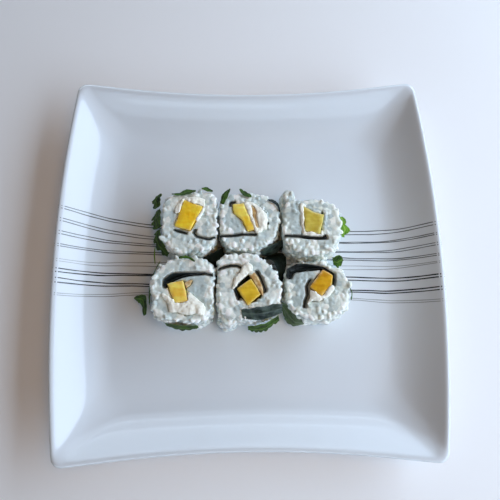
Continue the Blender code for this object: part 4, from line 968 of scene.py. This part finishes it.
# For each leaf, in millimetres on the plate: its upper and its lower edge from end to end, how many lobes its
# outline has, how deep they are and how high it waves, and its kind.
leaves = {
    "leaf_1_bud": {
        "upper": ((-59.0, 44.4, 31.0), (-59.8, 40.4, 31.5), (-59.8, 36.0, 30.0)),
        "lower": ((-62.4, 46.2, 27.0), (-67.2, 41.6, 22.0), (-67.0, 35.4, 20.0)),
        "edge": (3, 0.35, 0.8), "kind": "herb"},
    "leaf_1_side": {
        "upper": ((-59.6, 34.4, 30.0), (-59.4, 28.0, 31.5), (-59.4, 21.2, 30.0)),
        "lower": ((-67.0, 33.8, 19.0), (-67.8, 28.0, 17.0), (-67.0, 21.6, 16.5)),
        "edge": (4, 0.35, 0.9), "kind": "herb"},
    "leaf_1_low": {
        "upper": ((-59.6, 19.8, 30.0), (-58.6, 12.0, 29.0), (-53.4, 4.6, 26.0)),
        "lower": ((-66.8, 20.0, 17.0), (-65.4, 11.0, 14.0), (-57.4, 2.4, 13.0)),
        "edge": (4, 0.35, 0.9), "kind": "herb"},
    "leaf_1_stem": {
        "upper": ((-62.6, 8.0, 26.5), (-63.8, 3.6, 21.0), (-64.0, -1.0, 16.0)),
        "lower": ((-63.6, 8.0, 25.9), (-64.7, 3.6, 20.5), (-64.8, -1.0, 15.6)),
        "edge": (1, 0.0, 0.1), "kind": "bright"},
    "leaf_1_far": {
        "upper": ((-51.8, 41.9, 35.6), (-46.7, 41.0, 35.9), (-41.2, 41.8, 35.9), (-35.5, 43.5, 35.6)),
        "lower": ((-51.8, 43.4, 34.2), (-47.1, 44.0, 34.0), (-42.5, 46.2, 33.8), (-35.6, 46.2, 34.2)),
        "edge": (4, 0.3, 0.4), "kind": "herb"},
    "leaf_1_far_tip": {
        "upper": ((-31.3, 45.6, 35.8), (-28.0, 43.9, 35.9), (-24.0, 43.4, 35.8)),
        "lower": ((-32.0, 47.4, 34.2), (-28.1, 47.9, 33.8), (-24.3, 45.7, 34.2)),
        "edge": (2, 0.3, 0.3), "kind": "herb"},
    "leaf_2_corner": {
        "upper": ((-12.1, 45.5, 35.9), (-13.6, 40.9, 36.3), (-16.4, 34.3, 36.2)),
        "lower": ((-12.8, 47.0, 34.4), (-17.8, 42.4, 34.2), (-19.8, 36.2, 34.6)),
        "edge": (3, 0.3, 0.3), "kind": "herb"},
    "leaf_2_far": {
        "upper": ((-6.5, 45.3, 35.4), (-3.8, 40.9, 36.2), (1.8, 39.2, 36.2)),
        "lower": ((-5.5, 46.9, 34.2), (-2.5, 44.8, 34.4), (2.2, 41.8, 35.0)),
        "edge": (3, 0.3, 0.3), "kind": "herb"},
    "leaf_2_dark": {
        "upper": ((12.3, 36.9, 36.0), (15.6, 35.9, 36.1), (18.9, 33.1, 36.0), (20.1, 28.5, 35.8)),
        "lower": ((13.0, 38.6, 35.0), (16.2, 38.6, 34.4), (20.0, 35.4, 34.6), (21.4, 29.8, 35.0)),
        "edge": (9, 0.4, 0.3), "kind": "deep"},
    "leaf_2_low": {
        "upper": ((7.0, 3.8, 30.0), (14.6, 7.6, 31.0), (22.6, 13.0, 28.0)),
        "lower": ((9.4, 3.2, 18.0), (17.6, 4.4, 16.0), (23.6, 9.0, 16.0)),
        "edge": (4, 0.15, 0.5), "kind": "dark"},
    "leaf_3_bright": {
        "upper": ((61.9, 28.2, 28.0), (61.4, 21.2, 29.0), (63.1, 14.0, 27.0)),
        "lower": ((66.2, 29.4, 24.0), (70.2, 21.8, 21.0), (66.5, 15.0, 22.0)),
        "edge": (2, 0.45, 0.9), "kind": "bright"},
    "leaf_3_low": {
        "upper": ((56.8, 0.4, 21.5), (60.4, 2.6, 22.5), (63.6, 2.0, 20.5)),
        "lower": ((58.8, -4.4, 14.0), (62.8, -4.4, 12.5), (66.2, -0.6, 13.5)),
        "edge": (3, 0.25, 0.5), "kind": "herb"},
    # leaf_gap and leaf_notch: near-black leaves deep in the gaps between the rolls, stretched to fill them,
    # so they are partly real leaf and partly a dark sheet standing in for the shade in the gaps
    "leaf_gap": {
        "upper": ((6.8, 0.4, 20.0), (15.4, -2.2, 27.0), (18.4, -9.0, 27.0), (20.0, -15.0, 25.0)),
        "lower": ((16.0, 5.4, 13.0), (24.6, 4.6, 18.0), (24.9, -6.4, 22.0), (22.4, -15.6, 21.0)),
        "edge": (4, 0.1, 0.5), "kind": "deep"},
    "leaf_notch": {
        "upper": ((-32.5, 0.0, 25.0), (-27.0, 2.6, 26.5), (-17.5, 8.6, 24.0)),
        "lower": ((-29.0, -1.4, 17.0), (-23.0, -4.6, 18.0), (-16.0, -2.0, 15.0)),
        "edge": (2, 0.1, 0.4), "kind": "deep"},
    "leaf_4_side": {
        "upper": ((-58.8, -2.6, 29.5), (-63.2, -13.6, 31.5), (-64.8, -29.6, 29.0)),
        "lower": ((-61.8, -1.0, 17.0), (-67.4, -13.0, 14.0), (-68.2, -30.4, 16.0)),
        "edge": (6, 0.25, 0.6), "kind": "herb"},
    "leaf_4_hook": {
        "upper": ((-78.8, -23.2, 12.5), (-73.5, -22.7, 18.0), (-69.0, -24.4, 19.5), (-68.6, -35.4, 15.0)),
        "lower": ((-78.1, -25.4, 11.0), (-75.6, -27.4, 13.0), (-73.6, -29.4, 13.5), (-72.2, -36.6, 11.5)),
        "edge": (4, 0.3, 0.5), "kind": "herb"},
    "leaf_4_near": {
        "upper": ((-54.6, -43.6, 30.0), (-45.0, -45.2, 31.5), (-33.6, -45.2, 29.0)),
        "lower": ((-53.6, -45.0, 24.0), (-44.0, -47.4, 20.0), (-33.0, -46.8, 23.0)),
        "edge": (5, 0.25, 0.5), "kind": "herb"},
    "leaf_4_top": {
        "upper": ((-46.0, -0.8, 36.1), (-40.4, -0.5, 36.1), (-35.4, -3.3, 36.1)),
        "lower": ((-46.0, -2.8, 36.3), (-40.4, -2.5, 36.3), (-35.4, -5.3, 36.3)),
        "edge": (3, 0.3, 0.2), "kind": "herb"},
    "leaf_5_flap": {
        "upper": ((-5.6, -35.4, 36.2), (6.0, -34.4, 36.6), (20.8, -31.8, 35.4)),
        "lower": ((-4.8, -42.0, 35.2), (8.0, -42.8, 34.4), (20.6, -38.6, 32.6)),
        "edge": (3, 0.1, 1.0), "kind": "dark"},
    "leaf_5_near": {
        "upper": ((-1.4, -45.6, 26.5), (8.4, -44.4, 28.0), (18.8, -38.8, 27.5)),
        "lower": ((-0.8, -48.2, 15.0), (9.0, -48.4, 13.0), (20.2, -42.6, 15.0)),
        "edge": (7, 0.3, 0.6), "kind": "herb"},
    "leaf_6_smooth": {
        "upper": ((21.1, -30.2, 27.0), (27.0, -33.2, 28.0), (30.8, -39.3, 27.0), (36.4, -41.7, 23.0)),
        "lower": ((21.0, -32.4, 17.0), (23.4, -39.0, 13.0), (28.8, -44.2, 11.5), (36.4, -43.8, 12.5)),
        "edge": (1, 0.0, 0.3), "kind": "smooth"},
    "leaf_6_tip": {
        "upper": ((66.0, -21.4, 30.0), (66.8, -25.0, 31.0), (66.2, -28.6, 29.0)),
        "lower": ((67.4, -21.0, 25.0), (69.0, -25.0, 21.0), (67.6, -29.0, 25.0)),
        "edge": (2, 0.25, 0.3), "kind": "herb"},
}


def edgePoint(points, share):  # a place along an edge, as millimetres
    knots = [i / (len(points) - 1) for i in range(len(points))]
    return Vector([smoothThrough(knots, [point[axis] for point in points], share) for axis in range(3)])


def makeLeaf(node, seed):
    look = leaves[node]
    lobes, depth, wave = look["edge"]
    bpy.ops.object.select_all(action="DESELECT")
    bpy.ops.mesh.primitive_grid_add(x_subdivisions=leafSet["steps"], y_subdivisions=leafSet["rows"], size=1)
    leaf = bpy.context.object
    leaf.name = node.replace("_", "")
    form = "full" if node in leafSet["full"] else "tucked" if node in leafSet["tucked"] else "free"
    for vert in leaf.data.vertices:
        share, across = vert.co.x + 0.5, vert.co.y
        high, low = edgePoint(look["upper"], share), edgePoint(look["lower"], share)
        after, before = min(share + 0.02, 1), max(share - 0.02, 0)
        ahead = edgePoint(look["upper"], after) + edgePoint(look["lower"], after)
        behind = edgePoint(look["upper"], before) + edgePoint(look["lower"], before)
        normal = (ahead - behind).cross(low - high).normalized()
        bow = math.sin(math.pi * (0.05 + 0.9 * share))
        lobe = abs(math.sin(math.pi * lobes * share + 0.4 * seed))
        ragged = 1 + 0.14 * noise.noise(Vector((share * 9, seed * 3.7, 1 if across > 0 else 5)))
        ragged += 0.08 * noise.noise(Vector((share * 24, seed * 1.7, 2 if across > 0 else 8)))
        ends, fullness, held = leafSet["ends"][form]
        outline = ends + (1 - ends) * bow ** fullness
        off = abs(across - held)
        outline *= ragged * (1 - depth * (1 - lobe ** 0.7) * min(1.0, off * 1.4))
        place = (high + low) / 2 + (low - high) * (held + (across - held) * outline)
        ripple = noise.noise(Vector((share * 4.5, across * 2.5, seed * 4.1)))
        ripple += 0.35 * noise.noise(Vector((share * 13, across * 5, seed * 2.3)))
        groove = -0.25 * max(0.0, 1 - abs(across) * 9)
        curl = wave * (ripple * (0.4 + 1.6 * abs(across)) + 0.35 * lobe * abs(across))
        vert.co = (place + normal * (curl + groove)) * mm
    applyModifier(leaf, "SOLIDIFY", thickness=leafSet["thickness"] * mm, offset=0.0)
    applyModifier(leaf, "SUBSURF", levels=1, render_levels=1)
    leaf.data.shade_smooth()
    slotName = "dark_leaf" if look["kind"] in ("dark", "deep") else "herb_leaf"
    dress(leaf, leafKinds[look["kind"]], slotName, node)


for number, nodeName in enumerate(leaves):
    makeLeaf(nodeName, number)
print("leaves made")

sizes = {"cad": [list(corner) for corner in cadBox], "visual": [list(corner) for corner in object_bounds()]}
print("sizes in mm:", [[round(c / mm, 1) for c in corner] for pair in sizes.values() for corner in pair])
